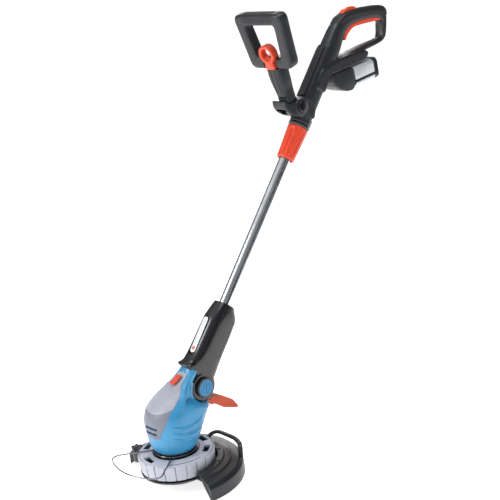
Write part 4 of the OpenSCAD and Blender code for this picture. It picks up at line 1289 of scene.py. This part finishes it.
def buildBattery():
    silver = finishes["silverLacquer"]
    black = finishes["texturedBlackNylon"]
    for name, low, high in (("upper", -7, 40), ("lower", -40, -13)):
        shell = barrel("battery_skin_" + name, battery["half"], battery["low"], battery["high"], 2, 62.6,
                       silver, 1.4)
        carve(shell, [block("clip", (-40, -20, low), (40, 100, high), batteryFrame, silver)], "INTERSECT")
        softenEdges(shell, 0.5, 50, 2)
        finish(shell, "battery", ["battery_shell_" + name])
    core = barrel("batteryCore", 20.6, -21, 19.5, 1.5, 64, black, 0.6)
    tail = barrel("batteryTail", 22.8, -23, 21.3, 63.4, 75, black, 2)
    carve(core, [barrel("nose", 18, -19, 17, -16, 2, black, 0.8), tail], "UNION")
    cutters = [block("latchRoom", (-7.6, 67, 1.4), (7.6, 100, 14.6), batteryFrame, black)]
    for z in (-10, -4):
        cutters.append(block("tailGroove", (-16, 74, z - 0.8), (16, 90, z + 0.8), batteryFrame, black))
    for side in (-1, 1):
        for k in range(2):
            low, high = sorted((side * 22, side * 30))
            cutters.append(block("sideGroove", (low, 66.5 + 3.6 * k, -12), (high, 68 + 3.6 * k, 12),
                                 batteryFrame, black))
    carve(core, cutters)
    core.name = "battery_body"
    finish(core, "battery", ["battery_case"])
    orange = finishes["orangeAbs"]
    button = block("battery_latch_button", (-6.6, 71.5, 2.4), (6.6, 85.5, 13.6), batteryFrame, orange)
    softenEdges(button, 1.4)
    ridge = block("ridge", (-5, -0.4, -0.6), (5, 0.8, 0.6), Matrix.Identity(4), orange)
    cuts = copies("latchCuts", ridge, 3, orange, step=(0, 0, 3 * mm))
    cuts.data.transform(batteryFrame @ Matrix.Translation(Vector((0, 85.1, 5)) * mm))
    shade(cuts)
    carve(button, [cuts])
    finish(button, "battery_release", ["battery_latch"])
    print("battery built")


# ---- front loop handle ----
loop = {"pairs": [(0, -12, 0, 11), (30, -12, 20, 11), (48, -11, 29, 13), (56.5, -3, 33.2, 19),
                  (58.6, 16, 35, 33),
                  (61, 45, 37, 50), (63.8, 76, 39.2, 67.5), (64.8, 90, 38.6, 75), (61, 98.4, 34.8, 78.2),
                  (51, 101.2, 28, 78.5), (30, 101.3, 18, 78.5)],
        "top": (0, 101.3, 0, 78.5), "half": 13, "ribs": 12}


def sideways(place):
    # puts a loft's y and z on the frame's x and z, with its x through the depth
    return place @ Matrix(((0, 1, 0, 0), (-1, 0, 0, 0), (0, 0, 1, 0), (0, 0, 0, 1)))


def buildLoop():
    nylon = finishes["texturedBlackNylon"]
    rubber = finishes["softTouchRubber"]
    right = [(*pair, loop["half"], 4.2) for pair in loop["pairs"]]
    mirrored = [(-a, b, -c, d, half, power) for a, b, c, d, half, power in reversed(right[1:])]
    rows = right + [(*loop["top"], loop["half"], 4.2)] + mirrored
    frameRing = loft("loop_handle_ring", rows, sideways(loopFrame), nylon, steps=7, around=40, closed=True)
    shade(frameRing)
    cutters = [block("stemCut", (-18.5, -20, -13), (18.5, 0.5, 27), loopFrame, nylon)]
    carve(frameRing, cutters)
    finish(frameRing, "loop_handle", ["loop_frame"], 40)
    # ribbed soft sleeve round the top bar
    rings = []
    sections = 12 * loop["ribs"]
    for i in range(sections + 1):
        x = -43 + 86 * i / sections
        ripple = 0.75 * (0.5 + 0.5 * math.cos(2 * math.pi * loop["ribs"] * i / sections))
        grow = 0.3 - ripple - (1.2 if i in (0, sections) else 0)
        ring = []
        for k in range(44):
            angle = 2 * math.pi * k / 44
            y = (13.5 + grow) * signedPower(math.cos(angle), 2 / 3)
            z = 89.9 + (11.9 + grow) * signedPower(math.sin(angle), 2 / 3)
            ring.append(loopFrame @ (Vector((x, y, z)) * mm))
        rings.append(ring)
    finish(skin("loop_ribbed_grip", rings, rubber), "loop_handle", ["loop_grip"], 60)
    print("loop handle built")


def buildStem():
    nylon = finishes["texturedBlackNylon"]
    rows = [(354.5, 733, 389, 742, 17.5, 4), (358, 718, 392, 727, 17, 4), (363, 702, 396, 712, 15.8, 4),
            (368.5, 688, 400, 697, 13.6, 4), (371.5, 680, 402, 688, 13.1, 4), (375, 668, 406, 674, 12.8, 4),
            (377, 659, 409, 662, 12.4, 4)]
    stem = loft("stem", rows, rowFrame, nylon, steps=6, around=56, dome=1)
    shade(stem)
    eye = disc("eye", 14, -9.1, 9.1, boltFrame(), nylon, "x", 64)
    softenEdges(eye, 1.0, 50)
    web = prism("web", [(376, 662), (400, 668), (412, 664.5), (420, 655), (410, 640), (398, 642)], -9.1,
                9.1, rowFrame,
                nylon, 3)
    hub = disc("hub", 41, -22, 22, boltFrame(), nylon, "x", 96)
    core = prism("core", [(350, 674), (420, 680), (420, 760), (340, 760)], -22, 22, rowFrame, nylon)
    carve(hub, [core], "UNION")
    carve(stem, [hub], "INTERSECT")
    carve(stem, [eye, web], "UNION")
    ridges = []
    for x in (-5.5, 5.5):
        path = [(x, 355.4, 731), (x, 358.3, 718), (x, 364.0, 699), (x, 370.4, 683)]
        ridges.append(wireTube("ridge", inFrame(rowFrame, path), 1.3 * mm, nylon, around=10))
    cutters = [disc("bore", 5.02, -30, 30, boltFrame(), nylon, "x", 48),
               block("loopRoom", (-60, -60, -12), (60, 60, 48), loopFrame, nylon),
               disc("rodBore", 3.4, -80, 10, localFrame(loopFrame @ (Vector((0, -8, 0)) * mm), loopUp),
                    nylon)]
    carve(stem, ridges, "UNION")
    carve(stem, cutters)
    stem.name = "loop_stem_arm"
    finish(stem, "loop_handle", ["loop_stem"], 40)
    orange = finishes["orangeAbs"]
    ringPlace = localFrame(loopFrame @ (Vector((0, -8.9, 20)) * mm), loopFrame.to_3x3() @ Vector((0, 1, 0)))
    ring = revolve("pull_ring_grip", [(12.5, -5.2), (13.6, -7.9), (16.2, -8.7), (18.6, -7.6), (19.5, -5),
                                      (19.5, 5),
                                      (18.6, 7.6), (16.2, 8.7), (13.6, 7.9), (12.5, 5.2)], ringPlace,
                                      orange, around=72)
    base = block("ringBase", (-11, -17.2, -11), (11, -0.8, 5), loopFrame, orange)
    softenEdges(base, 1.6)
    hole = disc("hole", 12.6, -20, 20, ringPlace, orange)
    carve(base, [hole])
    carve(ring, [base], "UNION")
    finish(ring, "ring_pull", ["pull_ring"])
    print("loop stem and pull ring built")


def buildBolt():
    nylon = finishes["polishedBlackAbs"]
    parts = [disc("boltShank", 4.92, -20, 20, boltFrame(), nylon, "x", 48)]
    for side in (-1, 1):
        low, high = sorted((side * 20, side * 23))
        head = disc("boltHead", 11.5, low, high, boltFrame(), nylon, "x", 64)
        softenEdges(head, 1.1, 50)
        a, b = sorted((side * 22.2, side * 24))
        carve(head, [disc("socket", 3.4, a, b, boltFrame(), nylon, "x", 6)])
        parts.append(head)
    finish(joined("bracket_bolt_head", parts, nylon), "handle", ["bracket_bolt"])


buildHousing()
buildCover()
buildWheel()
buildBow()
buildStarKnob()
buildGuard()
buildArm()
buildArmTrim()
buildPedal()
buildLatch()
buildSleeve()
buildCollar()
buildHandle()
buildShankDetails()
buildGrip()
buildControls()
buildBay()
buildBattery()
buildLoop()
buildStem()
buildBolt()
